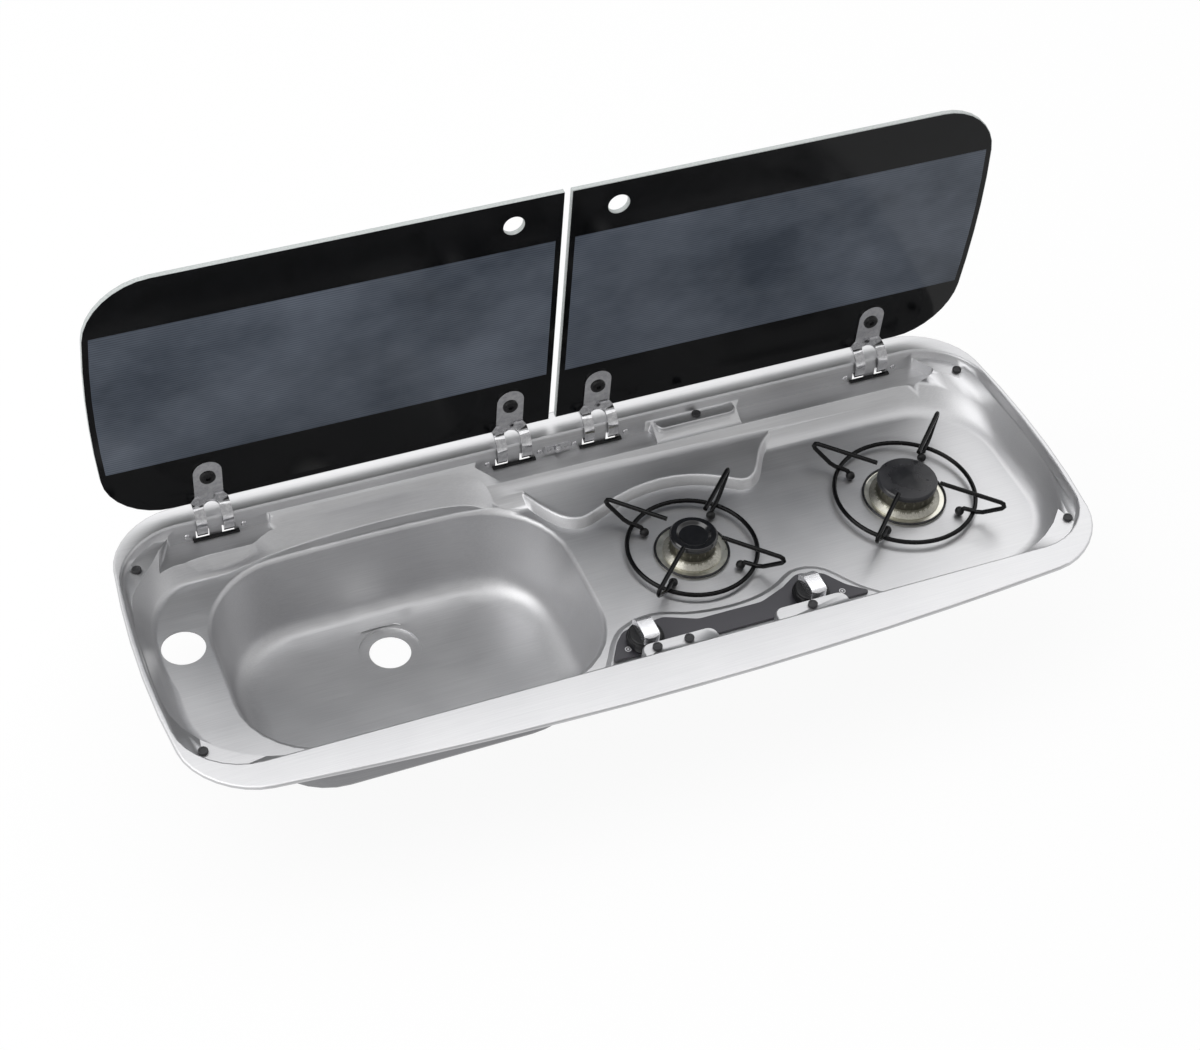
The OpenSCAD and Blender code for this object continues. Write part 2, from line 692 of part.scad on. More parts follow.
module hinge_arm() {
    gap = arm_w - 2 * leg_w;
    tab_y = lid_back - pivot[1];
    difference() {
        union() {
            across(arm_w) sector(leg_r, leg_out, 180, leg_end);
            translate([0, 0, tab_top - tab_t]) linear_extrude(tab_t) {
                translate([0, tab_y - tab_l + tab_w / 2]) circle(d = tab_w);
                translate([-tab_w / 2, tab_y - tab_l + tab_w / 2]) square([tab_w, tab_l - tab_w / 2]);
                polygon([[-arm_w / 2, -leg_r], [-arm_w / 2, tab_y - 3], [-tab_w / 2, tab_y - 9],
                    [tab_w / 2, tab_y - 9], [arm_w / 2, tab_y - 3], [arm_w / 2, -leg_r]]);
            }
            across(arm_w) sector(hub_r - 1, leg_out, leg_end - web_a, leg_end);
        }
        // Opening between the legs, round at the crossbar
        rotate([5, 0, 0]) translate([0, -leg_out - 1, -6]) rotate([-90, 0, 0])
            cylinder(d = gap, h = leg_t + 4);
        translate([-gap / 2, -leg_out - 2, -leg_out - 3]) cube([gap, 2 * leg_out, leg_out - 3]);
        translate([0, lid_back - screw_s - pivot[1], -5]) cylinder(d = 6.4, h = 12);
        across(arm_w + 2) circle(d = pin_d + 2 * pin_clear);
    }
    difference() {
        across(arm_w) circle(r = hub_r);
        across(arm_w + 2) circle(d = pin_d + 2 * pin_clear);
    }
}

module lid_arms(xs) color("lightgray")
    at_rim() opened() at_all(xs) translate(pivot) hinge_arm();

module sink_lid_arms() lid_arms([-hinge_outer_x, -hinge_inner_x]);
module hob_lid_arms() lid_arms([hinge_inner_x, hinge_outer_x]);

// Clamp screw through the tab and the glass, with a disc behind the glass
module lid_clamps(xs) color("black")
    at_rim() opened() at_all(xs) translate([0, screw_y, 0]) {
        tab_low = pivot[2] + tab_top - tab_t;
        translate([0, 0, tab_low - 2.5]) cylinder(d = 15, h = 2.5);
        translate([0, 0, tab_low - 1]) cylinder(d = 6, h = tab_t + glass_t + 2);
        translate([0, 0, glass_top]) cylinder(d = 20, h = 2.5);
    }

module sink_lid_clamps() lid_clamps([-hinge_outer_x, -hinge_inner_x]);
module hob_lid_clamps() lid_clamps([hinge_inner_x, hinge_outer_x]);

// Hinge housing behind the rear wall

cheek_x = arm_w / 2 + washer_t + 0.2;
// The closed lid's legs end just in front of the housing's back plate
housing_back = leg_out * cos(leg_end) + seat_gap + housing_t;

module hinge_housing() {
    flange_y = wall_y + sheet_t;
    low = -25;
    high = -3;
    for (s = [-1, 1]) {
        difference() {
            translate([s * (cheek_x + housing_t / 2) - housing_t / 2, flange_y, low])
                cube([housing_t, pivot[1] + housing_back - flange_y, -ledge_drop - 1.5 - low]);
            translate(pivot) across(big) circle(d = pin_d + 0.1);
        }
        difference() {
            translate([s * (cheek_x + housing_t / 2) - housing_t / 2, pivot[1] - 8, low])
                cube([housing_t, 8 + housing_back, high - low]);
            translate(pivot) across(big) circle(d = pin_d + 0.1);
        }
        difference() {
            translate([s > 0 ? cheek_x : -cheek_x - 14, flange_y, low + 2])
                cube([14, housing_t, -ledge_drop - 3.5 - low]);
            translate([s * rivet_dx, flange_y - 1, rivet_z]) rotate([-90, 0, 0])
                cylinder(d = rivet_d + 0.1, h = 6);
        }
    }
    translate([-cheek_x - housing_t, pivot[1] + housing_back - housing_t, low])
        cube([2 * (cheek_x + housing_t), housing_t, high - low]);
}

module hinge_housings() color("gray") at_rim() at_all(hinge_xs) hinge_housing();

module hinge_pins() color("silver")
    at_rim() at_all(hinge_xs) translate(pivot) {
        across(2 * (cheek_x + housing_t)) circle(d = pin_d);
        for (s = [-1, 1])
            translate([s * (cheek_x + housing_t + 0.75), 0, 0]) across(1.5) circle(d = pin_d + 3);
    }

module hinge_washers() color("darkgray")
    at_rim() at_all(hinge_xs) for (s = [-1, 1])
        translate(pivot + [s * (arm_w / 2 + 0.1 + washer_t / 2), 0, 0])
            across(washer_t) difference() {
                circle(r = hub_r + 1);
                circle(d = pin_d + 0.1);
            }

module hinge_rivets() color("silver")
    at_rim() at_all(hinge_xs) for (s = [-1, 1])
        translate([s * rivet_dx, wall_y, rivet_z]) rotate([-90, 0, 0]) {
            translate([0, 0, -1.2]) cylinder(d = 6, h = 1.2);
            translate([0, 0, -1]) cylinder(d = rivet_d, h = sheet_t + housing_t + 1.5);
            translate([0, 0, sheet_t + housing_t]) cylinder(d = 5, h = 1.5);
        }

// Guard strip on the ledge in front of each hinge's slots
module slot_guards() color("black")
    at_rim() at_all(hinge_xs) translate([0, wall_y, seat_gap - pocket_drop]) across(2 * slot_x + slot_w + 6)
        polygon([[-3.6, 0], [0, 0], [0, 1.6], [-3, 1.6], [-3.6, 1]]);

module centre_bracket() color("silver")
    at_rim() difference() {
        translate([-14, wall_y - 1.5, -20]) cube([28, 1.5, 10]);
        for (x = [-9, 9])
            translate([x, wall_y - 5, -15]) rotate([-90, 0, 0]) cylinder(d = 4.5, h = 10);
        translate([0, wall_y - 5, -15]) rotate([-90, 0, 0]) cylinder(d = 4.2, h = 10);
    }

module bracket_nut() color("silver")
    at_rim() translate([0, wall_y - 1.5, -15]) rotate([90, 0, 0]) {
        cylinder(d = 8, h = 3, $fn = 6);
        translate([0, 0, -1.4]) cylinder(d = 4, h = 6);
    }

// Control strip and knobs

strip_line = [[-46, -108, 2], [-34, -88, 12], [-24, -77, 14], [18, -73, 14], [48, -86, 20], [112, -86, 24],
    [138, -76, 16], [158, -64, 14], [182, -72, 14], [196, -92, 20], [216, -108, 2]];

module control_strip() color("black")
    at_rim() difference() {
        translate([0, 0, base_z]) linear_extrude(strip_t)
            polygon(outline([for (i = [len(strip_line) - 1:-1:0]) strip_line[i]]));
        for (x = [knob_left_x, knob_right_x])
            translate([x, -knob_y, base_z - 1]) cylinder(d = spindle_d + 2, h = strip_t + 2);
    }

skirt_z = base_z + strip_t + knob_push + 0.4;

module knob(x) color("black")
    at_rim() translate([x, -knob_y, skirt_z]) difference() {
        rotate_extrude() polygon([[0, 0], [knob_d / 2 - 0.6, 0], [knob_d / 2, 0.6], [knob_d / 2, 4],
            [knob_d / 2 - 1, 4.6], [knob_d / 2 - 1, 7], [knob_d / 2 - 2, 7.6], [knob_d / 2 - 2, skirt_h - 1],
            [knob_d / 2 - 3, skirt_h], [0, skirt_h]]);
        translate([0, 0, -1]) cylinder(d = spindle_d + 0.1, h = skirt_h - 1);
    }

module knob_grip(x) color("silver")
    at_rim() translate([x, -knob_y, skirt_z + skirt_h]) intersection() {
        cylinder(d = knob_d - 3, h = grip_h);
        across(grip_w) intersection() {
            translate([-knob_d / 2, 0]) square([knob_d, grip_h]);
            translate([-3, -10]) circle(r = 23);
        }
    }

module knob_left() knob(knob_left_x);
module knob_right() knob(knob_right_x);
module knob_left_grip() knob_grip(knob_left_x);
module knob_right_grip() knob_grip(knob_right_x);

tap_z = floor_z - 24;
tap_r = 12;
feed_z = tap_z - 2;
// Radius of the cup under each burner
cup_r = 16;

module spindle(x) color("silver")
    at_rim() translate([x, -knob_y, tap_z - 4])
        cylinder(d = spindle_d, h = skirt_z + skirt_h - 2.3 - tap_z + 4);

module spindle_left() spindle(knob_left_x);
module spindle_right() spindle(knob_right_x);

// Gas tap under the floor, with its spindle bore, rail saddle and outlet
module tap_body(x) color("goldenrod")
    at_rim() translate([x, -knob_y, 0]) difference() {
        union() {
            translate([0, 0, tap_z - 12]) cylinder(r = tap_r, h = base_z - sheet_t - seat_gap - tap_z + 12);
            translate([0, 0, feed_z]) rotate([-90, 0, 0]) cylinder(d = feed_d + 6, h = tap_r + 10);
        }
        translate([0, 0, tap_z - 4 - knob_push - 0.5]) cylinder(d = spindle_d + 0.1, h = 60);
        translate([0, tap_r + 4, feed_z]) rotate([-90, 0, 0]) cylinder(d = feed_d + 0.1, h = 10);
    }

module tap_body_left() tap_body(knob_left_x);
module tap_body_right() tap_body(knob_right_x);

rail_z = tap_z - 12 - rail_d / 2;

module gas_rail() color("silver")
    at_rim() translate([0, -knob_y, rail_z]) rotate([0, 90, 0]) {
        translate([0, 0, knob_left_x - 20]) cylinder(d = rail_d, h = knob_right_x - knob_left_x + 60);
    }

feed_bend = 16;

// Burner feed pipe: straight back from the tap, round a bend and into the burner's cup
module feed_pipe(x, bx) color("silver")
    at_rim() translate([x, -knob_y + tap_r + 4, feed_z]) {
        run = burner_y + knob_y - tap_r - 4 - feed_bend;
        rotate([-90, 0, 0]) cylinder(d = feed_d, h = run);
        translate([feed_bend, run, 0]) rotate([0, 0, 90]) rotate_extrude(angle = 90)
            translate([feed_bend, 0]) circle(d = feed_d);
        translate([feed_bend, run + feed_bend, 0]) rotate([0, 90, 0])
            cylinder(d = feed_d, h = bx - x - feed_bend);
    }

module feed_pipe_small() feed_pipe(knob_left_x, burner_small_x - cup_r);
module feed_pipe_large() feed_pipe(knob_right_x, burner_large_x - cup_r);

module gas_inlet() color("goldenrod")
    at_rim() translate([knob_right_x + 40, -knob_y, rail_z]) rotate([0, 90, 0]) {
        cylinder(d = inlet_d + 6, h = 14, $fn = 6);
        cylinder(d = inlet_d, h = 50);
    }

// Burners

module dish(x, r, edge_r) color("dimgray")
    at_rim() translate([x, burner_y, well_z]) rotate_extrude()
        polygon([[r - 0.7, 0], [edge_r - 2, 0], [edge_r, dish_t + 1], [edge_r - 1.4, dish_t + 1],
            [edge_r - 3.4, dish_t],
            [r - 0.7, dish_t]]);

module dish_small() dish(burner_small_x, cap_small_r, cap_small_r + 13.5);
module dish_large() dish(burner_large_x, cap_large_r, cap_large_r + 12);

// Body: a cup below the floor and the head with its ring of ports above the dish
module burner(x, r) color("lightgray")
    at_rim() translate([x, burner_y, well_z]) difference() {
        union() {
            rotate_extrude() polygon([[0, -30], [14, -30], [cup_r, -28], [cup_r, -8],
                [r - 1, -3], [r - 1, dish_t],
                [r + 5, dish_t], [r + 5, dish_t + 1.5], [r - 1, dish_t + 5], [r - 2.5, dish_t + 7],
                [r - 2.5, dish_t + burner_h], [0, dish_t + burner_h]]);
            translate([-cup_r - 8, 0, feed_z - well_z]) rotate([0, 90, 0]) cylinder(d = feed_d + 5, h = 14);
        }
        translate([-cup_r - 9, 0, feed_z - well_z]) rotate([0, 90, 0]) cylinder(d = feed_d + 0.1, h = 10);
        for (a = [0:20:340])
            rotate([0, 0, a]) translate([r / 2, 0, dish_t + burner_h - 3]) rotate([0, 90, 0])
                cylinder(d = 2, h = r);
        translate([0, 0, dish_t + burner_h - 4]) cylinder(r = 6, h = 10);
    }

module burner_small() burner(burner_small_x, cap_small_r);
module burner_large() burner(burner_large_x, cap_large_r);

module cap(x, r, dished) color("black")
    at_rim() translate([x, burner_y, well_z + dish_t + burner_h]) rotate_extrude()
        polygon([[0, -3.5], [5.6, -3.5], [5.6, 0.1], [r - 1, 0.1], [r, 1.2],
            [r, cap_h - 1.6], [r - 1.6, cap_h],
            [r * 0.72, cap_h], [r * 0.6, cap_h - dished], [0, cap_h - dished]]);

module cap_small() cap(burner_small_x, cap_small_r, 2.5);
module cap_large() cap(burner_large_x, cap_large_r, 0.6);

// Pan support: a ring of wire with folded fingers that curl in to rubber feet

ring_z = 7;

function foot_at(ring_r) = [ring_r - 13, 0, foot_ball_d / 2 + seat_gap];
function over_foot(ring_r, gap) = foot_at(ring_r) + (foot_ball_d / 2 + gap) * [0.6, 0, 0.8];

function finger_path(ring_r, inner_r) =
    let (top = finger_h - wire_d / 2, tip = ring_r + finger_reach - wire_d / 2)
    [[inner_r, 0, top], [tip - 4, 0, top], [tip - 1.2, 0, top - 1],
        [tip, 0, top - 4], [tip - 1.6, 0, top - 7],
        [ring_r + 9, 0, ring_z + 5.6], [ring_r + 3, 0, ring_z + 3.4], [ring_r - 4, 0, ring_z + 3.4],
        over_foot(ring_r, 1.8), over_foot(ring_r, 0.2)];

module support(x, ring_r, inner_r) color("black")
    at_rim() translate([x, burner_y, well_z]) {
        translate([0, 0, ring_z]) rotate_extrude() translate([ring_r, 0]) circle(d = wire_d);
        for (k = [0:finger_n - 1])
            rotate([0, 0, 45 + 360 * k / finger_n]) bar(finger_path(ring_r, inner_r), wire_d);
    }

module support_feet(x, ring_r) color("black")
    at_rim() translate([x, burner_y, well_z]) for (k = [0:finger_n - 1])
        rotate([0, 0, 45 + 360 * k / finger_n]) translate(foot_at(ring_r)) sphere(d = foot_ball_d);

module support_small() support(burner_small_x, ring_small_r, cap_small_r + 5);
module support_large() support(burner_large_x, ring_large_r, cap_large_r + 2.5);
module support_small_feet() support_feet(burner_small_x, ring_small_r);
module support_large_feet() support_feet(burner_large_x, ring_large_r);

top_pressing();
rim_gasket();
lid_buffers();
sink_lid_glass();
hob_lid_glass();
sink_lid_arms();
hob_lid_arms();
sink_lid_clamps();
hob_lid_clamps();
hinge_housings();
hinge_pins();
hinge_washers();
hinge_rivets();
slot_guards();
centre_bracket();
bracket_nut();
control_strip();
knob_left();
knob_left_grip();
knob_right();
knob_right_grip();
spindle_left();
spindle_right();
tap_body_left();
tap_body_right();
gas_rail();
feed_pipe_small();
feed_pipe_large();
gas_inlet();
dish_small();
dish_large();
burner_small();
burner_large();
cap_small();
cap_large();
support_small();
support_large();
support_small_feet();
support_large_feet();
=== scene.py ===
"""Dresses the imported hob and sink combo: finishes, fine detail, camera and soft studio light."""

import json
import logging
import math
from dataclasses import dataclass, field
from enum import Enum, IntEnum
from typing import Callable, Sequence

import bmesh
import bpy
from mathutils import Matrix, Vector
from mathutils.bvhtree import BVHTree

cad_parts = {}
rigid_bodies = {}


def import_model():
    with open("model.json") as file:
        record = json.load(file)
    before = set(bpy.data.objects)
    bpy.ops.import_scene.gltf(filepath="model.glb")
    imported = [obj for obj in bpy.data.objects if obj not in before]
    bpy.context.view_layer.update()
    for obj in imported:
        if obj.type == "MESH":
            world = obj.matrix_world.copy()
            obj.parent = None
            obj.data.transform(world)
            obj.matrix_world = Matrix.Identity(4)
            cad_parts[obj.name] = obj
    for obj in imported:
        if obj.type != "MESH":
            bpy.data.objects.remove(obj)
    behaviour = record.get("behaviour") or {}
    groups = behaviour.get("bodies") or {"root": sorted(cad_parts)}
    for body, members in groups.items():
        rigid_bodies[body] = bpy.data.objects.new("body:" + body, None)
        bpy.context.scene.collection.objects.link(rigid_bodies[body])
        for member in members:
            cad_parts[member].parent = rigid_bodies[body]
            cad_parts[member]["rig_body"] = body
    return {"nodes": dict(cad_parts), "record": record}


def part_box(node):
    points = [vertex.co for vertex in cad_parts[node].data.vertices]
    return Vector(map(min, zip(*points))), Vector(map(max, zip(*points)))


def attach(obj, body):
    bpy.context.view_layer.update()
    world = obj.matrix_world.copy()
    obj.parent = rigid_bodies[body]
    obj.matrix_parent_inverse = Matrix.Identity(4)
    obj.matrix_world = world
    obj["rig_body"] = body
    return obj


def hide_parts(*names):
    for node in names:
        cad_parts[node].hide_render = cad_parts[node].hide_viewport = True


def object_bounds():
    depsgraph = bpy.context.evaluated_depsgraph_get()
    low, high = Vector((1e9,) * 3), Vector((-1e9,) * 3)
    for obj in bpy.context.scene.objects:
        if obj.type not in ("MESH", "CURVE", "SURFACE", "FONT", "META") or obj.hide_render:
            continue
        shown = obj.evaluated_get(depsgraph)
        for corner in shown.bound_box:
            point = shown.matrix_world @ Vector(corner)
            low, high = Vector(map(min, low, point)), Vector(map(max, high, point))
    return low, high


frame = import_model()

log = logging.getLogger("hob_and_sink")
CAD_BOX = [list(corner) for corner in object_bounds()]
MM = 0.001
FULL_TURN = 2 * math.pi
# Points of a CAD mesh closer than this are one, in metres
SAME_CAD_POINT = 2e-6
# Points of a spun profile closer than this are one, in metres
SAME_SPUN_POINT = 1e-6
# Faces of a CAD mesh that meet at less than this are one flat face, in degrees
FLAT = 0.4
# Digits of a place in metres by which the solids of a node are put in order
ORDER_DIGITS = 4
# Most of a profile's side that one fillet takes
FILLET_SHARE = 0.49
# Edges that turn by more than this are broken, in degrees, and in so many steps
BROKEN_FROM = 40.0
BROKEN_STEPS = 2
# Weight of each finer octave of noise
OCTAVE_WEIGHT = 0.6
# Nearly all values of a noise lie between these
NOISE_LOW = 0.3
NOISE_HIGH = 0.7
# Roughness of a clear coat
COAT_ROUGHNESS = 0.06

# Gives the number of a face's finish
Picker = Callable[[bmesh.types.BMFace], int]


# Small helpers


def linear(code: str) -> tuple[float, float, float, float]:
    """Turns an sRGB hex colour into linear light.

    Args:
        code: Six hex digits.

    Returns:
        Red, green, blue and full alpha.
    """
    values = [int(code[i : i + 2], 16) / 255 for i in (0, 2, 4)]
    turned = [v / 12.92 if v <= 0.04045 else ((v + 0.055) / 1.055) ** 2.4 for v in values]
    return (*turned, 1.0)


def add(
    tree: bpy.types.NodeTree, kind: str, settings: dict | None = None, **inputs: object
) -> bpy.types.Node:
    """Adds a node with its settings and links.

    Args:
        tree: The node tree.
        kind: Blender's name of the node type.
        settings: Properties of the node itself.
        inputs: Sockets by name, with _ for a space, or by i and number. An output is linked, and a
            value is set.

    Returns:
        The new node.
    """
    node = tree.nodes.new(kind)
    for key, value in (settings or {}).items():
        setattr(node, key, value)
    for key, value in inputs.items():
        number = key[1:].isdigit() and key[0] == "i"
        socket = node.inputs[int(key[1:])] if number else node.inputs[key.replace("_", " ")]
        if isinstance(value, bpy.types.NodeSocket):
            tree.links.new(value, socket)
        else:
            socket.default_value = value
    return node


def merged_copy(node: str) -> bmesh.types.BMesh:
    """Copies a CAD node's mesh with its doubles merged and its flat faces joined.

    Args:
        node: Name of the CAD node.

    Returns:
        A new mesh in the part's frame.
    """
    bm = bmesh.new()
    bm.from_mesh(frame["nodes"][node].data)
    bmesh.ops.remove_doubles(bm, verts=bm.verts, dist=SAME_CAD_POINT)
    bmesh.ops.dissolve_limit(bm, angle_limit=math.radians(FLAT), verts=bm.verts, edges=bm.edges)
    return bm


def islands(node: str) -> list[tuple[Vector, Vector]]:
    """Finds the separate solids of a CAD node.

    Args:
        node: Name of the CAD node.

    Returns:
        Lowest and highest corner of each solid, from left to right.
    """
    bm = merged_copy(node)
    left, found = set(bm.verts), []
    while left:
        heap, seen = [left.pop()], []
        while heap:
            vert = heap.pop()
            seen.append(vert.co.copy())
            for edge in vert.link_edges:
                other = edge.other_vert(vert)
                if other in left:
                    left.remove(other)
                    heap.append(other)
        low = Vector(min(p[k] for p in seen) for k in range(3))
        high = Vector(max(p[k] for p in seen) for k in range(3))
        found.append((low, high))
    bm.free()
    return sorted(found, key=lambda pair: (round(pair[0].x, ORDER_DIGITS), round(pair[0].y, ORDER_DIGITS)))


def spun(profile: Sequence[tuple[float, float]], steps: int = 40) -> bmesh.types.BMesh:
    """Spins a profile round Z.

    Args:
        profile: Radius and height of each point in mm, from one end of the axis to the other.
        steps: Faces round the axis.

    Returns:
        A closed mesh.
    """
    bm = bmesh.new()
    verts = [bm.verts.new((r * MM, 0, z * MM)) for r, z in profile]
    edges = [bm.edges.new(pair) for pair in zip(verts, verts[1:])]
    bmesh.ops.spin(
        bm,
        geom=verts + edges,
        cent=(0, 0, 0),
        axis=(0, 0, 1),
        angle=FULL_TURN,
        steps=steps,
        use_merge=True,
    )
    bmesh.ops.remove_doubles(bm, verts=bm.verts, dist=SAME_SPUN_POINT)
    bmesh.ops.recalc_face_normals(bm, faces=bm.faces)
    return bm


def rounded(outline: Sequence[tuple[float, float, float]], steps: int = 4) -> list[tuple[float, float]]:
    """Rounds the corners of a profile.

    Args:
        outline: Radius, height and fillet of each corner in mm; the two ends stay sharp.
        steps: Pieces of each fillet.

    Returns:
        Points of the profile.
    """
    points = [outline[0][:2]]
    for before, corner, after in zip(outline, outline[1:], outline[2:]):
        here = Vector(corner[:2])
        back, on = Vector(before[:2]) - here, Vector(after[:2]) - here
        reach = min(corner[2], back.length * FILLET_SHARE, on.length * FILLET_SHARE)
        first, last = here + back.normalized() * reach, here + on.normalized() * reach
        for k in range(steps + 1):
            t = k / steps
            point = first * (1 - t) ** 2 + here * 2 * t * (1 - t) + last * t**2
            points.append((point.x, point.y))
    return [*points, outline[-1][:2]]


def stamp(target: bmesh.types.BMesh, shape: bmesh.types.BMesh, place: Matrix) -> None:
    """Adds a copy of a shape to a mesh.

    Args:
        target: The mesh that grows.
        shape: The shape, which stays as it is.
        place: Where the copy goes, and how it is turned.
    """
    mesh = bpy.data.meshes.new("stamp")
    shape.to_mesh(mesh)
    mesh.transform(place)
    target.from_mesh(mesh)
    bpy.data.meshes.remove(mesh)


def settle(
    bm: bmesh.types.BMesh,
    name: str,
    finishes: Sequence["Finish"],
    body: str,
    replaces: Sequence[str] = (),
    sharp: float = 32.0,
    bevel_mm: float = 0.0,
) -> bpy.types.Object:
    """Makes a finished piece of a mesh and puts it on its body.

    Args:
        bm: The mesh, in the part's frame; it is freed.
        name: Name of the piece.
        finishes: Its finish, or one for each material index of its faces.
        body: The CAD body it rides on.
        replaces: CAD nodes that it stands for.
        sharp: Edges sharper than this many degrees stay hard.
        bevel_mm: Width of the broken edges, or 0 for none.

    Returns:
        The object.
    """
    mesh = bpy.data.meshes.new(name)
    bm.to_mesh(mesh)
    bm.free()
    mesh.shade_smooth()
    mesh.set_sharp_from_angle(angle=math.radians(sharp))
    piece = bpy.data.objects.new(name, mesh)
    bpy.context.scene.collection.objects.link(piece)
    if bevel_mm:
        broken = piece.modifiers.new("broken_edges", "BEVEL")
        broken.width = bevel_mm * MM
        broken.segments = BROKEN_STEPS
        broken.limit_method = "ANGLE"
        broken.angle_limit = math.radians(BROKEN_FROM)
        broken.use_clamp_overlap = True
    weighted = piece.modifiers.new("even_shading", "WEIGHTED_NORMAL")
    weighted.keep_sharp = True
    for finish in finishes:
        mesh.materials.append(finish.material())
    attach(piece, body)
    if replaces:
        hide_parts(*replaces)
    log.info("%s: %d faces on %s", name, len(mesh.polygons), body)
    return piece


def body_of(node: str) -> str:
    """Name of the body that a CAD node rides on."""
    return frame["nodes"][node]["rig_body"]


# Finishes


@dataclass(frozen=True)
class Finish:
    """A surface finish, kept in one material.

    Attributes:
        name: Name of the material.
        slot: The record's slot that it belongs to; not used.
        light: Lighter colour.
        dark: Darker colour.
        metallic: 1 for a bare metal.
        roughness: Typical roughness.
        spread: How far the roughness varies.
        grain_mm: Size of the pattern along X, Y and Z.
        bump: Strength of the relief.
        depth_mm: Height of the relief.
        coat: Clear gloss over the colour.
        shine: Strength of a bare surface's reflection, 0.5 for most plastics.
    """

    name: str
    slot: str
    light: str
    dark: str
    metallic: float = 0.0
    roughness: float = 0.4
    spread: float = 0.05
    grain_mm: tuple[float, float, float] = (2.0, 2.0, 2.0)
    bump: float = 0.1
    depth_mm: float = 0.05
    coat: float = 0.0
    shine: float = 0.5

    def noise(
        self, tree: bpy.types.NodeTree, grain_mm: Sequence[float], detail: float = 4.0
    ) -> bpy.types.NodeSocket:
        """Noise of a given size.

        Args:
            tree: The node tree.
            grain_mm: Size of the noise along X, Y and Z.
            detail: Octaves of finer noise.

        Returns:
            The noise, about 0 to 1.
        """
        where = add(tree, "ShaderNodeTexCoord")
        scale = tuple(1 / (g * MM) for g in grain_mm)
        placed = add(tree, "ShaderNodeMapping", Vector=where.outputs["Object"], Scale=scale)
        made = add(
            tree,
            "ShaderNodeTexNoise",
            Vector=placed.outputs["Vector"],
            Scale=1.0,
            Detail=detail,
            Roughness=OCTAVE_WEIGHT,
        )
        return made.outputs["Fac"]

    def pattern(self, tree: bpy.types.NodeTree) -> bpy.types.NodeSocket:
        """The finish's own pattern, from 0 to 1."""
        return self.noise(tree, self.grain_mm)

    def ramp(
        self, tree: bpy.types.NodeTree, factor: bpy.types.NodeSocket, low: float, high: float
    ) -> bpy.types.NodeSocket:
        """Maps a pattern to a range of values."""
        node = add(tree, "ShaderNodeMapRange", Value=factor, i1=NOISE_LOW, i2=NOISE_HIGH, i3=low, i4=high)
        return node.outputs["Result"]

    def blend(
        self, tree: bpy.types.NodeTree, factor: bpy.types.NodeSocket, first: object, second: object
    ) -> bpy.types.NodeSocket:
        """Mixes two colours, each a value or an output."""
        mix = add(tree, "ShaderNodeMix", {"data_type": "RGBA"}, i0=factor, i6=first, i7=second)
        return mix.outputs[2]

    def colour(self, tree: bpy.types.NodeTree, factor: bpy.types.NodeSocket) -> bpy.types.NodeSocket:
        """Colour of the surface over the pattern."""
        return self.blend(tree, self.ramp(tree, factor, 0.0, 1.0), linear(self.dark), linear(self.light))

    def material(self) -> bpy.types.Material:
        """Makes the material, or finds the one made before.

        Returns:
            The material.
        """
        made = bpy.data.materials.get(self.name)
        if made:
            return made
        made = bpy.data.materials.new(self.name)
        made.use_nodes = True
        tree = made.node_tree
        shader = tree.nodes["Principled BSDF"]
        factor = self.pattern(tree)
        relief = add(
            tree, "ShaderNodeBump", Strength=self.bump, Distance=self.depth_mm * MM, Height=factor
        )
        tree.links.new(self.colour(tree, factor), shader.inputs["Base Color"])
        rough = self.ramp(tree, factor, self.roughness - self.spread, self.roughness + self.spread)
        tree.links.new(rough, shader.inputs["Roughness"])
        tree.links.new(relief.outputs["Normal"], shader.inputs["Normal"])
        shader.inputs["Metallic"].default_value = self.metallic
        shader.inputs["Coat Weight"].default_value = self.coat
        shader.inputs["Coat Roughness"].default_value = COAT_ROUGHNESS
        if not self.metallic:
            shader.inputs["Specular IOR Level"].default_value = self.shine
        return made


@dataclass(frozen=True)
class BrushedSteel(Finish):
    """Brushed stainless sheet: fine streaks along X over soft patches.

    Attributes:
        patch_mm: Size of the patches.
        patch_share: How much of the pattern the patches take.
        patch_detail: Octaves of finer noise in the patches.
    """

    patch_mm: float = 90.0
    patch_share: float = 0.45
    patch_detail: float = 2.0

    def pattern(self, tree: bpy.types.NodeTree) -> bpy.types.NodeSocket:
        """Streaks over patches.

        Args:
            tree: The node tree.

        Returns:
            The pattern, from 0 to 1.
        """
        streaks = self.noise(tree, self.grain_mm)
        patches = self.noise(tree, (self.patch_mm, self.patch_mm, self.patch_mm), self.patch_detail)
        mix = add(
            tree, "ShaderNodeMix", {"data_type": "FLOAT"}, i0=self.patch_share, i2=streaks, i3=patches
        )
        return mix.outputs[0]


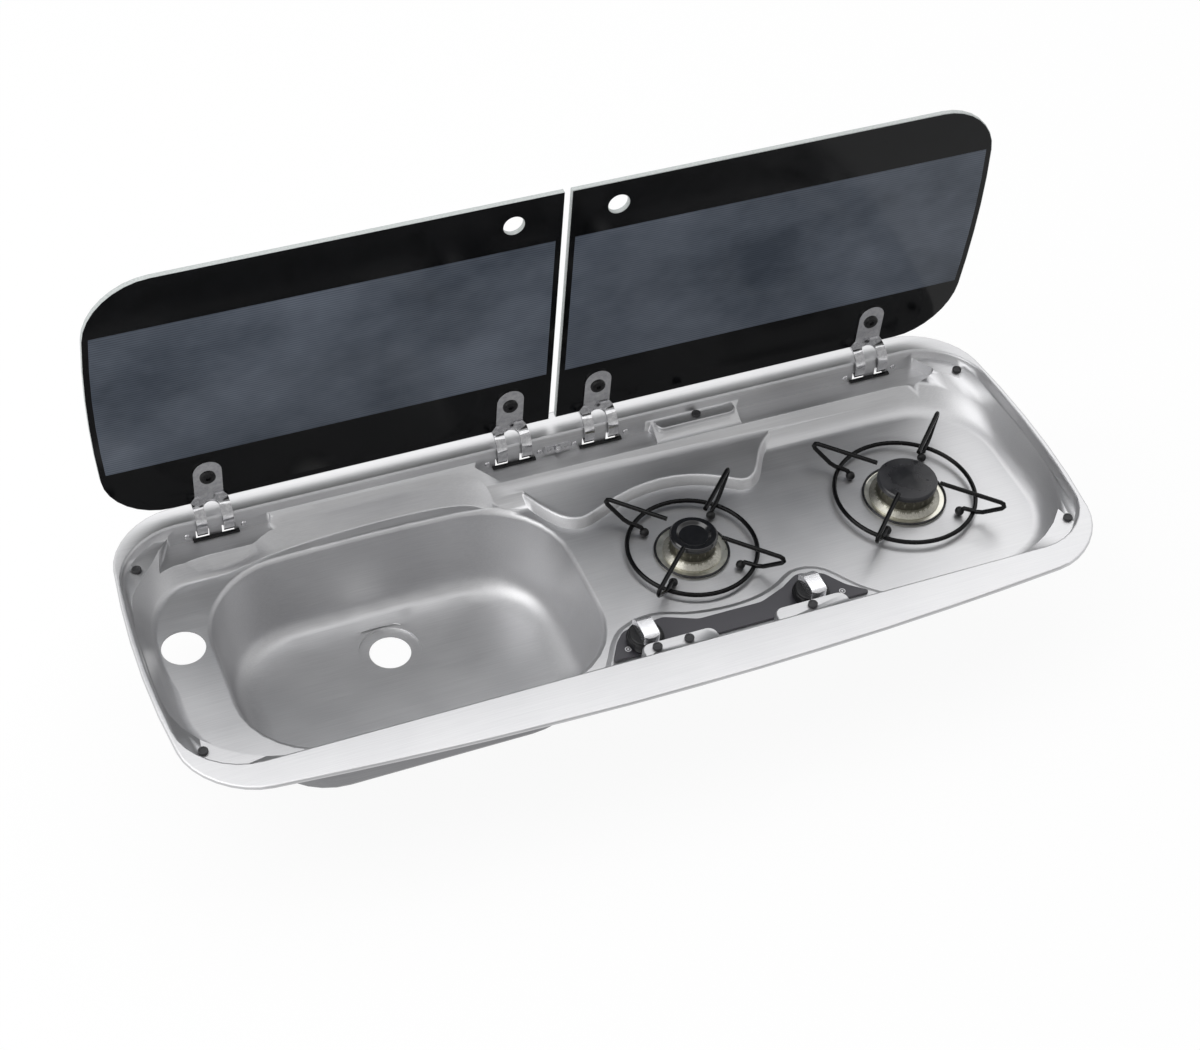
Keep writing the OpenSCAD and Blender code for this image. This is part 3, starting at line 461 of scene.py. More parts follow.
@dataclass(frozen=True)
class LinedPrint(Finish):
    """Print of fine lines under the glass of the lids' windows.

    Attributes:
        pitch_mm: Distance between the lines, coarser than the real print so that it shows.
        line: Colour of the lines.
        fade: Values of the wave at which a line starts and has faded out.
        clear: Share of the tint that shows in the middle of a line.
    """

    pitch_mm: float = 2.6
    line: str = "2b3037"
    fade: tuple[float, float] = (-0.9, 0.3)
    clear: float = 0.55

    def colour(self, tree: bpy.types.NodeTree, factor: bpy.types.NodeSocket) -> bpy.types.NodeSocket:
        """Lines over the clouded tint.

        Args:
            tree: The node tree.
            factor: The pattern of the clouds.

        Returns:
            The colour.
        """
        tint = super().colour(tree, factor)
        where = add(tree, "ShaderNodeTexCoord")
        axes = add(tree, "ShaderNodeSeparateXYZ", Vector=where.outputs["Object"])
        rate = FULL_TURN / (self.pitch_mm * MM)
        turns = add(tree, "ShaderNodeMath", {"operation": "MULTIPLY"}, i0=axes.outputs["Z"], i1=rate)
        wave = add(tree, "ShaderNodeMath", {"operation": "SINE"}, i0=turns.outputs[0])
        start, end = self.fade
        shown = add(
            tree, "ShaderNodeMapRange", Value=wave.outputs[0], i1=start, i2=end, i3=self.clear, i4=1.0
        )
        return self.blend(tree, shown.outputs[0], linear(self.line), tint)


# Stainless sheet, drawn and then fine brushed along X: pale, with long soft streaks
SHEET = BrushedSteel(
    "brushed_stainless_sheet", "brushed_sheet", "d2d2d3", "bebec0",
    metallic=1.0, roughness=0.45, spread=0.05, grain_mm=(60.0, 0.8, 0.8), bump=0.05, depth_mm=0.02,
)
# The same sheet's under side keeps the mill's skin, dull; its darker colour is painted shade on the faces
# that look down or hang free
SHADED_UNDER = BrushedSteel(
    "mill_skin_painted_shade_stainless", "brushed_sheet", "949496", "7c7c7f",
    metallic=1.0, roughness=0.5, spread=0.06, grain_mm=(40.0, 2.0, 2.0), bump=0.05, depth_mm=0.03,
)
# Stainless strip, stamped and tumbled: bright, with faint scratches
BRIGHT = Finish(
    "tumbled_stainless_strip", "bright_steel", "d8d8d9", "b8b8bb",
    metallic=1.0, roughness=0.11, spread=0.04, grain_mm=(4.0, 4.0, 4.0), bump=0.02, depth_mm=0.02,
)
# Stainless dish, polished and then tinted by heat: a soft, slightly warm shine
DISH = Finish(
    "heat_tinted_stainless", "bright_steel", "e6e4da", "cfcdbf",
    metallic=1.0, roughness=0.32, spread=0.05, grain_mm=(9.0, 9.0, 9.0), bump=0.04, depth_mm=0.03,
)
# A dark ring round the dish's edge: painted shadow, a thin dark line for the shade under the dish's raised
# rim
DISH_SHADOW_RING = Finish(
    "painted_shadow_dish_ring", "bright_steel", "4a4a4c", "2e2e31",
    metallic=1.0, roughness=0.4, spread=0.05, grain_mm=(4.0, 4.0, 4.0), bump=0.05, depth_mm=0.03,
)
# Black passivated steel: dull and slightly uneven
DARK_STEEL = Finish(
    "black_passivated_steel", "dark_steel", "3c3d40", "28292b",
    metallic=0.6, roughness=0.5, spread=0.08, grain_mm=(5.0, 5.0, 5.0), bump=0.1, depth_mm=0.03,
)
# Moulded rubber: dull black
RUBBER = Finish(
    "moulded_rubber", "black_rubber", "343436", "232325",
    roughness=0.62, spread=0.08, grain_mm=(0.8, 0.8, 0.8), bump=0.3, depth_mm=0.05,
)
# Harder moulded rubber on the pan supports' feet: deep black with a faint sheen
FOOT_RUBBER = Finish(
    "hard_black_rubber", "black_rubber", "19191a", "101011",
    roughness=0.45, spread=0.06, grain_mm=(0.8, 0.8, 0.8), bump=0.2, depth_mm=0.04, shine=0.3,
)
# Heat-proof plastic from a spark-eroded mould: black, with a fine grain and a low shine
PLASTIC = Finish(
    "moulded_black_plastic", "black_plastic", "18181a", "0e0e0f",
    roughness=0.28, spread=0.06, grain_mm=(0.5, 0.5, 0.5), bump=0.2, depth_mm=0.03, shine=0.3,
)
# Printed foil on the control strip: dark grey with an even satin sheen
FOIL = Finish(
    "satin_grey_foil", "black_plastic", "434247", "39383d",
    roughness=0.42, spread=0.04, grain_mm=(0.7, 0.7, 0.7), bump=0.1, depth_mm=0.02,
)
# Satin chromed plastic of the grips: pale, with soft reflections
CHROME = Finish(
    "satin_chromed_plastic", "satin_chrome", "f4f4f6", "e2e2e5",
    metallic=1.0, roughness=0.26, spread=0.04, grain_mm=(6.0, 1.0, 1.0), bump=0.04, depth_mm=0.02,
)
# Turned brass gas fittings: warm, with fine tool marks
BRASS = Finish(
    "turned_brass", "brass", "c5a25a", "a98545",
    metallic=1.0, roughness=0.3, spread=0.06, grain_mm=(4.0, 0.5, 4.0), bump=0.1, depth_mm=0.03,
)
# Drawn aluminium pipe: pale and slightly dull
PIPE = Finish(
    "drawn_aluminium_pipe", "aluminium", "c4c4c3", "a9a9a8",
    metallic=1.0, roughness=0.36, spread=0.06, grain_mm=(12.0, 1.0, 12.0), bump=0.06, depth_mm=0.03,
)
# Die-cast aluminium burner body: dark above its foot, with a cast skin
BURNER = Finish(
    "dark_cast_aluminium", "aluminium", "77756a", "55534a",
    metallic=1.0, roughness=0.42, spread=0.08, grain_mm=(1.6, 1.6, 1.6), bump=0.3, depth_mm=0.08,
)
# The foot of the burner body: paler, with the same skin
BURNER_FOOT = Finish(
    "cast_aluminium_foot", "aluminium", "b9b7ad", "94928a",
    metallic=1.0, roughness=0.4, spread=0.06, grain_mm=(1.6, 1.6, 1.6), bump=0.2, depth_mm=0.06,
)
# Enamel fired on steel: deep gloss with slight orange peel
ENAMEL = Finish(
    "fired_black_enamel", "black_enamel", "1a1a1c", "0d0d0e",
    roughness=0.2, spread=0.05, grain_mm=(3.0, 3.0, 3.0), bump=0.1, depth_mm=0.04, coat=0.5,
)
# Enamelled wire: black and a little less glossy
WIRE = Finish(
    "enamelled_wire", "black_enamel", "111112", "080809",
    roughness=0.2, spread=0.05, grain_mm=(2.0, 2.0, 2.0), bump=0.08, depth_mm=0.04, shine=0.15,
)
# Enamel worn by heat on the large cap: glossy in parts and dull grey in others
WORN_ENAMEL = Finish(
    "worn_black_enamel", "black_enamel", "2b2b2f", "161618",
    roughness=0.3, spread=0.14, grain_mm=(34.0, 34.0, 34.0), bump=0.05, depth_mm=0.04,
)
# Ceramic print fired on the glass: black and smooth, with a weak reflection
PRINT = Finish(
    "fired_black_print", "lid_glass", "0e0f11", "0a0b0c",
    roughness=0.12, spread=0.03, grain_mm=(20.0, 20.0, 20.0), bump=0.0, depth_mm=0.01, shine=0.14,
)
# Lined print in the windows: grey blue and clouded, with lines along the hinges
WINDOW = LinedPrint(
    "lined_grey_print", "lid_glass", "757d8a", "4a515c",
    roughness=0.14, spread=0.03, grain_mm=(150.0, 90.0, 110.0), bump=0.0, depth_mm=0.01, shine=0.16,
)
# Ground glass edge: pale and frosted
EDGE = Finish(
    "ground_glass_edge", "lid_glass", "c6cac9", "a6acab",
    roughness=0.45, spread=0.1, grain_mm=(1.5, 1.5, 1.5), bump=0.3, depth_mm=0.05,
)
# Screen-printed ink of the marks: flat pale grey
MARK = Finish(
    "pale_printed_ink", "black_plastic", "e4e4e6", "cfcfd2",
    roughness=0.5, spread=0.04, grain_mm=(1.0, 1.0, 1.0), bump=0.05, depth_mm=0.01,
)


# Camera and studio


@dataclass(frozen=True)
class Lamp:
    """A soft square lamp that points at the object.

    Attributes:
        name: Name of the lamp.
        place: Where it hangs, in metres.
        size: Its width, in metres.
        watts: Its power.
    """

    name: str
    place: tuple[float, float, float]
    size: float
    watts: float

    def hang(self) -> None:
        """Adds the lamp to the scene."""
        data = bpy.data.lights.new(self.name, "AREA")
        data.size = self.size
        data.energy = self.watts
        lamp = bpy.data.objects.new(self.name, data)
        bpy.context.scene.collection.objects.link(lamp)
        lamp.location = self.place
        lamp.rotation_euler = (-Vector(self.place)).to_track_quat("-Z", "Y").to_euler()


@dataclass
class Studio:
    """Camera at the photograph's angle, pale floor and soft lamps.

    Attributes:
        azimuth: Camera's direction round Z, in degrees.
        elevation: Camera's height, in degrees.
        roll: Turn about the line of sight, in degrees.
        distance: From the target, in metres.
        target: Point at the middle of the picture, in millimetres.
        lens: Focal length, in millimetres.
        sensor: Width of the camera's sensor, in millimetres.
        sight: How far the camera sees, in metres.
        room: Strength of the pale room as a light.
        ceiling: How bright the unlit ceiling over the camera is, beside the white room.
        ceiling_way: Direction of the middle of that ceiling.
        ceiling_edge: Cosines of the angles from the middle at which it starts and is full.
        floor_half: Half the width of the floor, in metres.
        floor_gap: How far the floor lies under the object, in metres.
        floor_grey: How pale the floor is, from 0 to 1.
        floor_rough: Roughness of the floor.
        floor_glow: Share of plain white that the eye and reflections see in the floor.
        lamps: The lamps.
    """

    azimuth: float = -25.04
    elevation: float = 45.38
    roll: float = 4.15
    distance: float = 2.14
    target: tuple[float, float, float] = (-6.83, 24.56, 3.0)
    lens: float = 69.0
    sensor: float = 36.0
    sight: float = 50.0
    room: float = 0.65
    ceiling: float = 0.55
    ceiling_way: tuple[float, float, float] = (0.15, -0.55, 0.82)
    ceiling_edge: tuple[float, float] = (0.55, 0.85)
    floor_half: float = 20.0
    floor_gap: float = 0.001
    floor_grey: float = 0.95
    floor_rough: float = 0.9
    floor_glow: float = 0.93
    lamps: tuple[Lamp, ...] = (
        Lamp("key_lamp", (-1.6, 0.1, 2.0), 2.0, 28.0),
        Lamp("top_lamp", (0.5, 0.9, 2.3), 2.8, 25.0),
    )

    def camera(self) -> None:
        """Places the camera."""
        az, el, roll = (math.radians(v) for v in (self.azimuth, self.elevation, self.roll))
        back = Vector((math.sin(az) * math.cos(el), -math.cos(az) * math.cos(el), math.sin(el)))
        right = Vector((0, 0, 1)).cross(back).normalized()
        up = back.cross(right)
        x_axis = math.cos(roll) * right + math.sin(roll) * up
        y_axis = -math.sin(roll) * right + math.cos(roll) * up
        data = bpy.data.cameras.new("photo_camera")
        data.lens = self.lens
        data.sensor_width = self.sensor
        data.clip_end = self.sight
        eye = bpy.data.objects.new("photo_camera", data)
        bpy.context.scene.collection.objects.link(eye)
        place = Matrix((x_axis, y_axis, back)).transposed().to_4x4()
        place.translation = Vector(self.target) * MM + self.distance * back
        eye.matrix_world = place
        bpy.context.scene.camera = eye

    def seen(self, tree: bpy.types.NodeTree) -> bpy.types.NodeSocket:
        """Tells the eye's rays and reflections from plain light.

        Args:
            tree: The node tree.

        Returns:
            1 for camera, glossy and transmission rays, 0 for the rest.
        """
        path = add(tree, "ShaderNodeLightPath")
        rays = ("Is Camera Ray", "Is Glossy Ray", "Is Transmission Ray")
        camera, glossy, through = (path.outputs[ray] for ray in rays)
        first = add(tree, "ShaderNodeMath", {"operation": "MAXIMUM"}, i0=camera, i1=glossy)
        both = add(tree, "ShaderNodeMath", {"operation": "MAXIMUM"}, i0=first.outputs[0], i1=through)
        return both.outputs[0]

    def world(self) -> None:
        """White for the eye and in reflections, dimmer as a light."""
        world = bpy.data.worlds.new("pale_room")
        world.use_nodes = True
        tree = world.node_tree
        strength = add(
            tree, "ShaderNodeMapRange", Value=self.seen(tree), i1=0.0, i2=1.0, i3=self.room, i4=1.0
        )
        way = add(tree, "ShaderNodeTexCoord")
        facing = Vector(self.ceiling_way).normalized()
        near = add(
            tree,
            "ShaderNodeVectorMath",
            {"operation": "DOT_PRODUCT"},
            i0=way.outputs["Object"],
            i1=facing,
        )
        start, full = self.ceiling_edge
        ceiling = add(
            tree,
            "ShaderNodeMapRange",
            {"interpolation_type": "SMOOTHSTEP"},
            Value=near.outputs["Value"],
            i1=start,
            i2=full,
            i3=1.0,
            i4=self.ceiling,
        )
        level = add(
            tree,
            "ShaderNodeMath",
            {"operation": "MULTIPLY"},
            i0=strength.outputs[0],
            i1=ceiling.outputs[0],
        )
        background = tree.nodes["Background"]
        tree.links.new(level.outputs[0], background.inputs["Strength"])
        background.inputs["Color"].default_value = (1.0, 1.0, 1.0, 1.0)
        bpy.context.scene.world = world

    def floor(self, low: float) -> None:
        """Lays a plain pale floor.

        Args:
            low: Its height, in metres.
        """
        bm = bmesh.new()
        bmesh.ops.create_grid(bm, x_segments=1, y_segments=1, size=self.floor_half)
        bmesh.ops.translate(bm, verts=bm.verts, vec=(0, 0, low))
        mesh = bpy.data.meshes.new("floor")
        bm.to_mesh(mesh)
        bm.free()
        made = bpy.data.materials.new("pale_floor")
        made.use_nodes = True
        tree = made.node_tree
        plain = tree.nodes["Principled BSDF"]
        plain.inputs["Base Color"].default_value = (self.floor_grey, self.floor_grey, self.floor_grey, 1.0)
        plain.inputs["Roughness"].default_value = self.floor_rough
        glow = add(tree, "ShaderNodeEmission", Color=(1.0, 1.0, 1.0, 1.0), Strength=1.0)
        share = add(
            tree, "ShaderNodeMath", {"operation": "MULTIPLY"}, i0=self.seen(tree), i1=self.floor_glow
        )
        mixed = add(
            tree, "ShaderNodeMixShader", i0=share.outputs[0], i1=plain.outputs[0], i2=glow.outputs[0]
        )
        tree.links.new(mixed.outputs[0], tree.nodes["Material Output"].inputs["Surface"])
        mesh.materials.append(made)
        floor = bpy.data.objects.new("floor", mesh)
        bpy.context.scene.collection.objects.link(floor)

    def build(self) -> None:
        """Sets up camera, floor, world and lamps."""
        self.camera()
        self.floor(CAD_BOX[0][2] - self.floor_gap)
        self.world()
        for lamp in self.lamps:
            lamp.hang()
        bpy.context.scene.view_settings.view_transform = "Standard"


# Sub-assemblies


class Side(Enum):
    """The lid over the sink or the lid over the hob."""

    SINK = "sink"
    HOB = "hob"


class Burner(Enum):
    """The small burner on the left or the large one on the right."""

    SMALL = "small"
    LARGE = "large"


class Zone(IntEnum):
    """The parts of a lid's glass, numbered as their finishes are."""

    BAND = 0
    WINDOW = 1
    GROUND = 2


@dataclass
class Dressed:
    """A CAD node whose shape is right: it gets even shading, broken edges and its finish.

    Attributes:
        node: Name of the node.
        finishes: Its finish, or several with a picker.
        bevel_mm: Width of its broken edges.
        sharp: Edges sharper than this many degrees stay hard.
        picker: Gives the finish's number for a face.
    """

    node: str
    finishes: tuple[Finish, ...]
    bevel_mm: float = 0.0
    sharp: float = 32.0
    picker: Picker | None = None

    def dress(self) -> None:
        """Carries the node over."""
        bm = merged_copy(self.node)
        if self.picker:
            for face in bm.faces:
                face.material_index = self.picker(face)
        name, body = self.node + "_dressed", body_of(self.node)
        settle(bm, name, self.finishes, body, [self.node], self.sharp, self.bevel_mm)


@dataclass
class Lid:
    """One lid: glass with its print and ground edge, hinge arms and clamp screws.

    Attributes:
        side: Sink or hob.
        opening: The lids' opening angle, in degrees.
        low_band: Height of the black band along the hinges, in mm.
        high_band: Where the black band along the front edge starts, in mm from the rear edge.
        border: Width of the black border round the glass, in mm.
        pencil: Width of the ground bevel, in mm.
        hard: Edges of the glass that turn by more than this are ground, in degrees.
        level: Least upright part of the normal of the glass's flat faces.
        arm_edge: Width of the arms' broken edges, in mm.
        screw_from_rear: Distance of the clamp screws from the glass's rear edge, in mm.
        tab_low: Height of the tabs' lower face over the worktop with the lid closed, in mm.
        glass_top: Height of the closed glass's top face over the worktop, in mm.
        head_r: Radius of the screw heads, in mm.
        head_h: Height of the screw heads, in mm.
        socket_r: Radius of their sockets, in mm.
        socket_deep: Depth of their sockets, in mm.
        socket_zone: Radii between which a point of the head is made hexagonal, in mm.
        shank_r: Radius of the shanks, in mm.
        shank_sunk: How far the shanks reach into the heads, in mm.
        disc_r: Radius of the discs behind the glass, in mm.
        disc_h: Height of the discs, in mm.
    """

    side: Side
    opening: float = 87.4
    low_band: float = 62.0
    high_band: float = 228.0
    border: float = 5.5
    pencil: float = 0.9
    hard: float = 60.0
    level: float = 0.999
    arm_edge: float = 0.35
    screw_from_rear: float = 32.0
    tab_low: float = -5.0
    glass_top: float = 2.0
    head_r: float = 7.5
    head_h: float = 2.5
    socket_r: float = 2.5
    socket_deep: float = 1.5
    socket_zone: tuple[float, float] = (1.5, 2.7)
    shank_r: float = 2.9
    shank_sunk: float = 1.0
    disc_r: float = 10.0
    disc_h: float = 2.5

    def opened(self) -> Matrix:
        """Turns the closed pose into the open one.

        Returns:
            The turn about the hinge line.
        """
        hinge = f"{self.side.value}_lid_hinge"
        joint = next(j for j in frame["record"]["behaviour"]["joints"] if j["name"] == hinge)
        pivot = Matrix.Translation(joint["pos_m"])
        return pivot @ Matrix.Rotation(math.radians(-self.opening), 4, "X") @ pivot.inverted()

    def glass(self) -> float:
        """Cuts the print's outlines into the glass and grinds its edges.

        Returns:
            Place of the closed glass's rear edge, in metres.
        """
        node = f"{self.side.value}_lid_glass"
        bm = merged_copy(node)
        bmesh.ops.transform(bm, matrix=self.opened().inverted(), verts=bm.verts)
        rear = max(v.co.y for v in bm.verts)
        joined = [e for e in bm.edges if len(e.link_faces) == 2]
        bmesh.ops.bevel(
            bm,
            geom=[e for e in joined if e.calc_face_angle(0.0) > math.radians(self.hard)],
            offset=self.pencil * MM,
            offset_type="OFFSET",
            segments=2,
            profile=0.5,
            affect="EDGES",
            material=-1,
            clamp_overlap=True,
        )
        bm.normal_update()
        flats = [[f for f in bm.faces if way * f.normal.z > self.level] for way in (1, -1)]
        for face in bm.faces:
            face.material_index = Zone.GROUND
        for faces in flats:
            border = bmesh.ops.inset_region(
                bm, faces=faces, thickness=self.border * MM, use_even_offset=True, use_boundary=True
            )
            for face in border["faces"]:
                face.material_index = Zone.BAND
            for face in faces:
                face.material_index = Zone.WINDOW
        for s in (self.low_band, self.high_band):
            everything = bm.verts[:] + bm.edges[:] + bm.faces[:]
            bmesh.ops.bisect_plane(bm, geom=everything, plane_co=(0, rear - s * MM, 0), plane_no=(0, 1, 0))
        for face in bm.faces:
            s = (rear - face.calc_center_median().y) / MM
            if face.material_index == Zone.WINDOW and not self.low_band < s < self.high_band:
                face.material_index = Zone.BAND
        bmesh.ops.transform(bm, matrix=self.opened(), verts=bm.verts)
        settle(bm, node + "_dressed", (PRINT, WINDOW, EDGE), body_of(node), [node], sharp=20.0)
        return rear

    def head(self) -> bmesh.types.BMesh:
        """Makes a screw head with a rounded edge and a hexagonal socket.

        Returns:
            The head, facing up, with its top at the origin.
        """
        r, floor, under = self.head_r, -self.socket_deep, -self.head_h
        outline = [
            (0, floor, 0),
            (self.socket_r, floor, 0),
            (self.socket_r, -0.3, 0.2),
            (self.socket_r + 0.5, 0, 0.2),
            (r - 1.6, 0, 0.9),
            (r, -1.1, 0.9),
            (r, under, 0),
            (0, under, 0),
        ]
        bm = spun(rounded(outline, 3), 36)
        near, far = self.socket_zone
        for vert in bm.verts:
            if near < Vector(vert.co.xy).length / MM < far:
                turn = math.atan2(vert.co.y, vert.co.x) % (math.pi / 3) - math.pi / 6
                vert.co.xy *= 1 / math.cos(turn)
        return bm

    def clamps(self, rear: float) -> None:
        """Makes the clamp screws: head on the tab, shank, and disc behind the glass.

        Args:
            rear: Place of the closed glass's rear edge, in metres.
        """
        node = f"{self.side.value}_lid_clamps"
        top, r, sunk = self.glass_top - self.tab_low, self.shank_r, -self.shank_sunk
        head = self.head()
        shank = spun([(0, sunk), (r, sunk), (r, top), (0, top)], 24)
        outline = [(0, 0, 0), (self.disc_r, 0, 0.2), (self.disc_r, self.disc_h, 0.9), (0, self.disc_h, 0)]
        disc = spun(rounded(outline, 3), 40)
        down = Matrix.Translation((0, 0, -self.head_h * MM)) @ Matrix.Rotation(math.pi, 4, "X")
        behind = Matrix.Translation((0, 0, top * MM))
        bm = bmesh.new()
        for low, high in islands(node):
            on_tab = ((low.x + high.x) / 2, rear - self.screw_from_rear * MM, self.tab_low * MM)
            place = self.opened() @ Matrix.Translation(on_tab)
            stamp(bm, head, place @ down)
            stamp(bm, shank, place)
            stamp(bm, disc, place @ behind)
        for shape in (head, shank, disc):
            shape.free()
        settle(bm, node + "_dressed", (PLASTIC,), body_of(node), [node])

    def dress(self) -> None:
        """Builds the lid's pieces."""
        rear = self.glass()
        Dressed(f"{self.side.value}_lid_arms", (BRIGHT,), self.arm_edge).dress()
        self.clamps(rear)


@dataclass
class HingeFixings:
    """Rivets beside the hinges: domed heads, shanks and set tails.

    Attributes:
        node: Name of the CAD node.
        head_r: Radius of the heads, in mm.
        head_h: Height of the heads, in mm.
        dome: Share of the head's radius at which its dome turns down.
        shank_r: Radius of the shanks, in mm.
        tail_r: Radius of the tails, in mm.
        tail_h: Height of the tails, in mm.
    """

    node: str = "hinge_rivets"
    head_r: float = 3.0
    head_h: float = 1.2
    dome: float = 0.75
    shank_r: float = 1.6
    tail_r: float = 2.5
    tail_h: float = 1.5

    def dress(self) -> None:
        """Makes a rivet wherever the frame has one."""
        bm = bmesh.new()
        forward = Matrix.Rotation(math.pi / 2, 4, "X")
        for low, high in islands(self.node):
            deep = (high.y - low.y) / MM
            neck = self.tail_h - deep
            outline = [
                (0, 0, 0),
                (self.head_r * self.dome, 0, 1.2),
                (self.head_r, -self.head_h, 0.1),
                (self.shank_r, -self.head_h, 0),
                (self.shank_r, neck, 0),
                (self.tail_r, neck, 0.2),
                (self.tail_r - 0.3, -deep, 0.6),
                (0, -deep, 0),
            ]
            rivet = spun(rounded(outline, 4), 20)
            place = Matrix.Translation(((low.x + high.x) / 2, low.y, (low.z + high.z) / 2))
            stamp(bm, rivet, place @ forward)
            rivet.free()
        settle(bm, self.node + "_dressed", (BRIGHT,), body_of(self.node), [self.node])


@dataclass
class Buffers:
    """Rubber buffers that the closed lids rest on: a dished button with a plug below.

    Attributes:
        node: Name of the CAD node.
        plug_r: Radius of the plug, in mm.
        dish: Depth of the dished top, in mm.
        lip: Width of the flat lip round the dish, in mm.
        slope: Width of the slope inside the lip, in mm.
        ledge: Height of the ledges over the worktop, in mm.
        seat_gap: Gap under the button, in mm.
    """

    node: str = "lid_buffers"
    plug_r: float = 1.9
    dish: float = 0.7
    lip: float = 1.5
    slope: float = 0.5
    ledge: float = -6.5
    seat_gap: float = 0.3

    def dress(self) -> None:
        """Makes a buffer wherever the frame has one."""
        bm = bmesh.new()
        foot = self.ledge + self.seat_gap
        for low, high in islands(self.node):
            r, top, bottom = (high.x - low.x) / 2 / MM, high.z / MM, low.z / MM
            outline = [
                (0, top - self.dish, 0),
                (r - self.lip - self.slope, top - self.dish, 0.3),
                (r - self.lip, top, 0.4),
                (r, top, 0.7),
                (r, foot, 0.3),
                (self.plug_r, foot, 0.2),
                (self.plug_r, bottom, 0.4),
                (0, bottom, 0),
            ]
            button = spun(rounded(outline, 3), 28)
            stamp(bm, button, Matrix.Translation(((low.x + high.x) / 2, (low.y + high.y) / 2, 0)))
            button.free()
        settle(bm, self.node + "_dressed", (RUBBER,), body_of(self.node), [self.node])


@dataclass
class StripMarks:
    """Printed marks on the control strip: at each knob a ring with a dot in it and one beside it.

    Attributes:
        left: Place of the left knob's mark on the strip, in mm.
        right: Place of the right knob's mark, in mm.
        ring_r: Radius of the ring, in mm.
        line: Width of its line, in mm.
        dot_r: Radius of the dots, in mm.
        dot_step: Distance between the dots along the strip, in mm.
        fall: How far the outer dot lies in front, as a share of that distance.
        thick: Height of the ink, drawn thicker than it is so that it shows, in mm.
        sunk: How far the ink starts under the strip's face, in mm.
    """

    left: tuple[float, float] = (-27.5, -99.0)
    right: tuple[float, float] = (189.0, -99.0)
    ring_r: float = 2.6
    line: float = 0.8
    dot_r: float = 1.1
    dot_step: float = 6.0
    fall: float = 0.4
    thick: float = 0.15
    sunk: float = 0.02

    def dress(self) -> None:
        """Prints the marks."""
        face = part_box("control_strip")[1].z / MM
        rest, top = face - self.sunk, face + self.thick
        near, far = self.ring_r - self.line / 2, self.ring_r + self.line / 2
        ring = spun([(near, rest), (near, top), (far, top), (far, rest), (near, rest)], 32)
        dot = spun([(0, rest), (self.dot_r, rest), (self.dot_r, top), (0, top)], 24)
        bm = bmesh.new()
        for place, way in ((self.left, 1), (self.right, -1)):
            stamp(bm, ring, Matrix.Translation((place[0] * MM, place[1] * MM, 0)))
            for step in (0.0, self.dot_step):
                spot = ((place[0] + way * step) * MM, (place[1] - self.fall * step) * MM, 0)
                stamp(bm, dot, Matrix.Translation(spot))
        for shape in (ring, dot):
            shape.free()
        settle(bm, "strip_marks", (MARK,), body_of("control_strip"))


@dataclass
class TopPressing:
    """The pressed top: its side that shows is brushed, and its under side keeps the mill's skin, painted
    darker as shade.

    Attributes:
        node: Name of the CAD node.
        steep: Faces with a flatter normal than this are told by their direction alone.
        step_mm: How far off a wall the test for what is below starts.
    """

    node: str = "top_pressing"
    steep: float = 0.3
    step_mm: float = 0.5

    def under(self, face: bmesh.types.BMFace, tree: BVHTree) -> bool:
        """Tells whether a face belongs to the under side, which gets the painted shade.

        Args:
            face: A face of the pressing.
            tree: The whole pressing, to look for sheet below the face.

        Returns:
            True where the face looks down, or is a wall with no sheet below it.
        """
        centre, way = face.calc_center_median(), face.normal
        if way.z < -self.steep:
            return True
        if way.z > self.steep or centre.z > 0:
            return False
        return tree.ray_cast(centre + way * self.step_mm * MM, Vector((0, 0, -1)))[0] is None

    def dress(self) -> None:
        """Gives both sides their finish."""
        bm = merged_copy(self.node)
        bm.normal_update()
        tree = BVHTree.FromBMesh(bm)
        # Faces of the under side get the dull finish whose darker colour is painted shade
        for face in bm.faces:
            face.material_index = int(self.under(face, tree))
        settle(bm, self.node + "_dressed", (SHEET, SHADED_UNDER), body_of(self.node), [self.node])


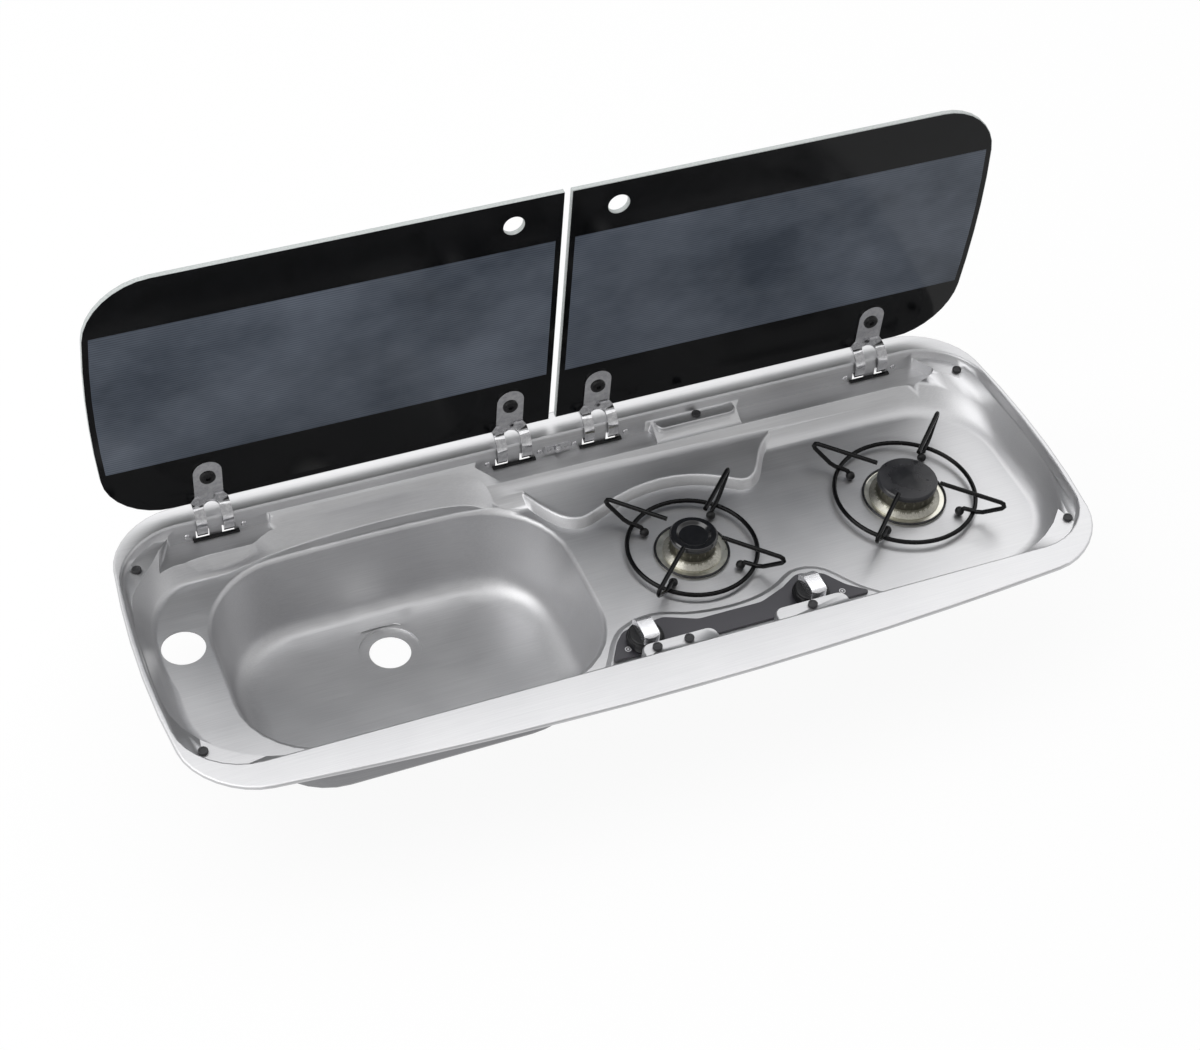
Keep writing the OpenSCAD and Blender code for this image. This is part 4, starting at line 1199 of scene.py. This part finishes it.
@dataclass
class Hob:
    """One burner with its dish, body, cap and pan support.

    Attributes:
        burner: Small or large.
        cap: Finish of the cap.
        edge: Width of the dark ring round the dish, painted shadow under its rim, in mm.
        edge_steps: Faces round the dark ring's own section.
        edge_sides: Faces along the dark ring.
        rim_zone: Points this near the dish's outer edge belong to its rim, in mm.
        proud: How far the dark ring stands over the dish's rim, in mm.
        foot_h: Height of the burner body's paler foot over the dish, in mm.
        cap_edge: Width of the cap's broken edges, in mm.
    """

    burner: Burner
    cap: Finish
    edge: float = 2.4
    edge_steps: int = 10
    edge_sides: int = 72
    rim_zone: float = 0.5
    proud: float = 1.1
    foot_h: float = 3.0
    cap_edge: float = 0.4

    def painted_shadow_ring(self) -> None:
        """Puts a dark ring round the dish, painted shadow under its raised rim."""
        dish = f"dish_{self.burner.value}"
        low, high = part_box(dish)
        centre, reach = (low + high) / 2, (high.x - low.x) / 2 / MM
        bm = merged_copy(dish)
        rim = [v.co.z for v in bm.verts if (v.co - centre).xy.length > (reach - self.rim_zone) * MM]
        top = max(rim) / MM
        bm.free()
        r = self.edge / 2
        turns = [FULL_TURN * k / self.edge_steps for k in range(self.edge_steps + 1)]
        section = [
            (reach - r + r * math.cos(turn), top + self.proud - r + r * math.sin(turn)) for turn in turns
        ]
        ring = spun(section, self.edge_sides)
        bmesh.ops.translate(ring, verts=ring.verts, vec=(centre.x, centre.y, 0))
        # The ring's dark colour is painted shadow under the dish's rim
        settle(ring, f"{dish}_edge", (DISH_SHADOW_RING,), body_of(dish), sharp=60.0)

    def dress(self) -> None:
        """Dresses the burner's pieces."""
        size = self.burner.value
        low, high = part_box(f"dish_{size}")
        foot = high.z + self.foot_h * MM

        def base(face: bmesh.types.BMFace) -> int:
            """1 for the foot of the burner body, 0 for the rest."""
            return int(low.z < face.calc_center_median().z < foot)

        Dressed(f"dish_{size}", (DISH,)).dress()
        self.painted_shadow_ring()
        Dressed(f"burner_{size}", (BURNER, BURNER_FOOT), picker=base).dress()
        Dressed(f"cap_{size}", (self.cap,), self.cap_edge).dress()
        Dressed(f"support_{size}", (WIRE,), sharp=65.0).dress()
        Dressed(f"support_{size}_feet", (FOOT_RUBBER,), sharp=60.0).dress()


@dataclass
class PlainNodes:
    """The rest of the CAD nodes, with the width of their broken edges.

    Attributes:
        finishes: Finish of each node, and width of its broken edges in mm.
    """

    finishes: dict[str, tuple[Finish, float]] = field(
        default_factory=lambda: {
            "rim_gasket": (RUBBER, 0.0),
            "hinge_housings": (DARK_STEEL, 0.0),
            "hinge_pins": (BRIGHT, 0.3),
            "hinge_washers": (DARK_STEEL, 0.0),
            "slot_guards": (PLASTIC, 0.0),
            "centre_bracket": (BRIGHT, 0.3),
            "bracket_nut": (BRIGHT, 0.3),
            "control_strip": (FOIL, 0.4),
            "knob_left": (PLASTIC, 0.0),
            "knob_right": (PLASTIC, 0.0),
            "knob_left_grip": (CHROME, 0.8),
            "knob_right_grip": (CHROME, 0.8),
            "spindle_left": (BRIGHT, 0.3),
            "spindle_right": (BRIGHT, 0.3),
            "tap_body_left": (BRASS, 0.4),
            "tap_body_right": (BRASS, 0.4),
            "gas_inlet": (BRASS, 0.3),
            "gas_rail": (PIPE, 0.5),
            "feed_pipe_small": (PIPE, 0.0),
            "feed_pipe_large": (PIPE, 0.0),
        }
    )

    def dress(self) -> None:
        """Carries every node over."""
        for node, (finish, bevel) in self.finishes.items():
            Dressed(node, (finish,), bevel).dress()


def main() -> None:
    """Builds the scene in order."""
    logging.basicConfig(level=logging.INFO, format="%(message)s")
    Studio().build()
    TopPressing().dress()
    PlainNodes().dress()
    Hob(Burner.SMALL, ENAMEL).dress()
    Hob(Burner.LARGE, WORN_ENAMEL).dress()
    for side in Side:
        Lid(side).dress()
    HingeFixings().dress()
    Buffers().dress()
    StripMarks().dress()


if __name__ == "__main__":
    main()
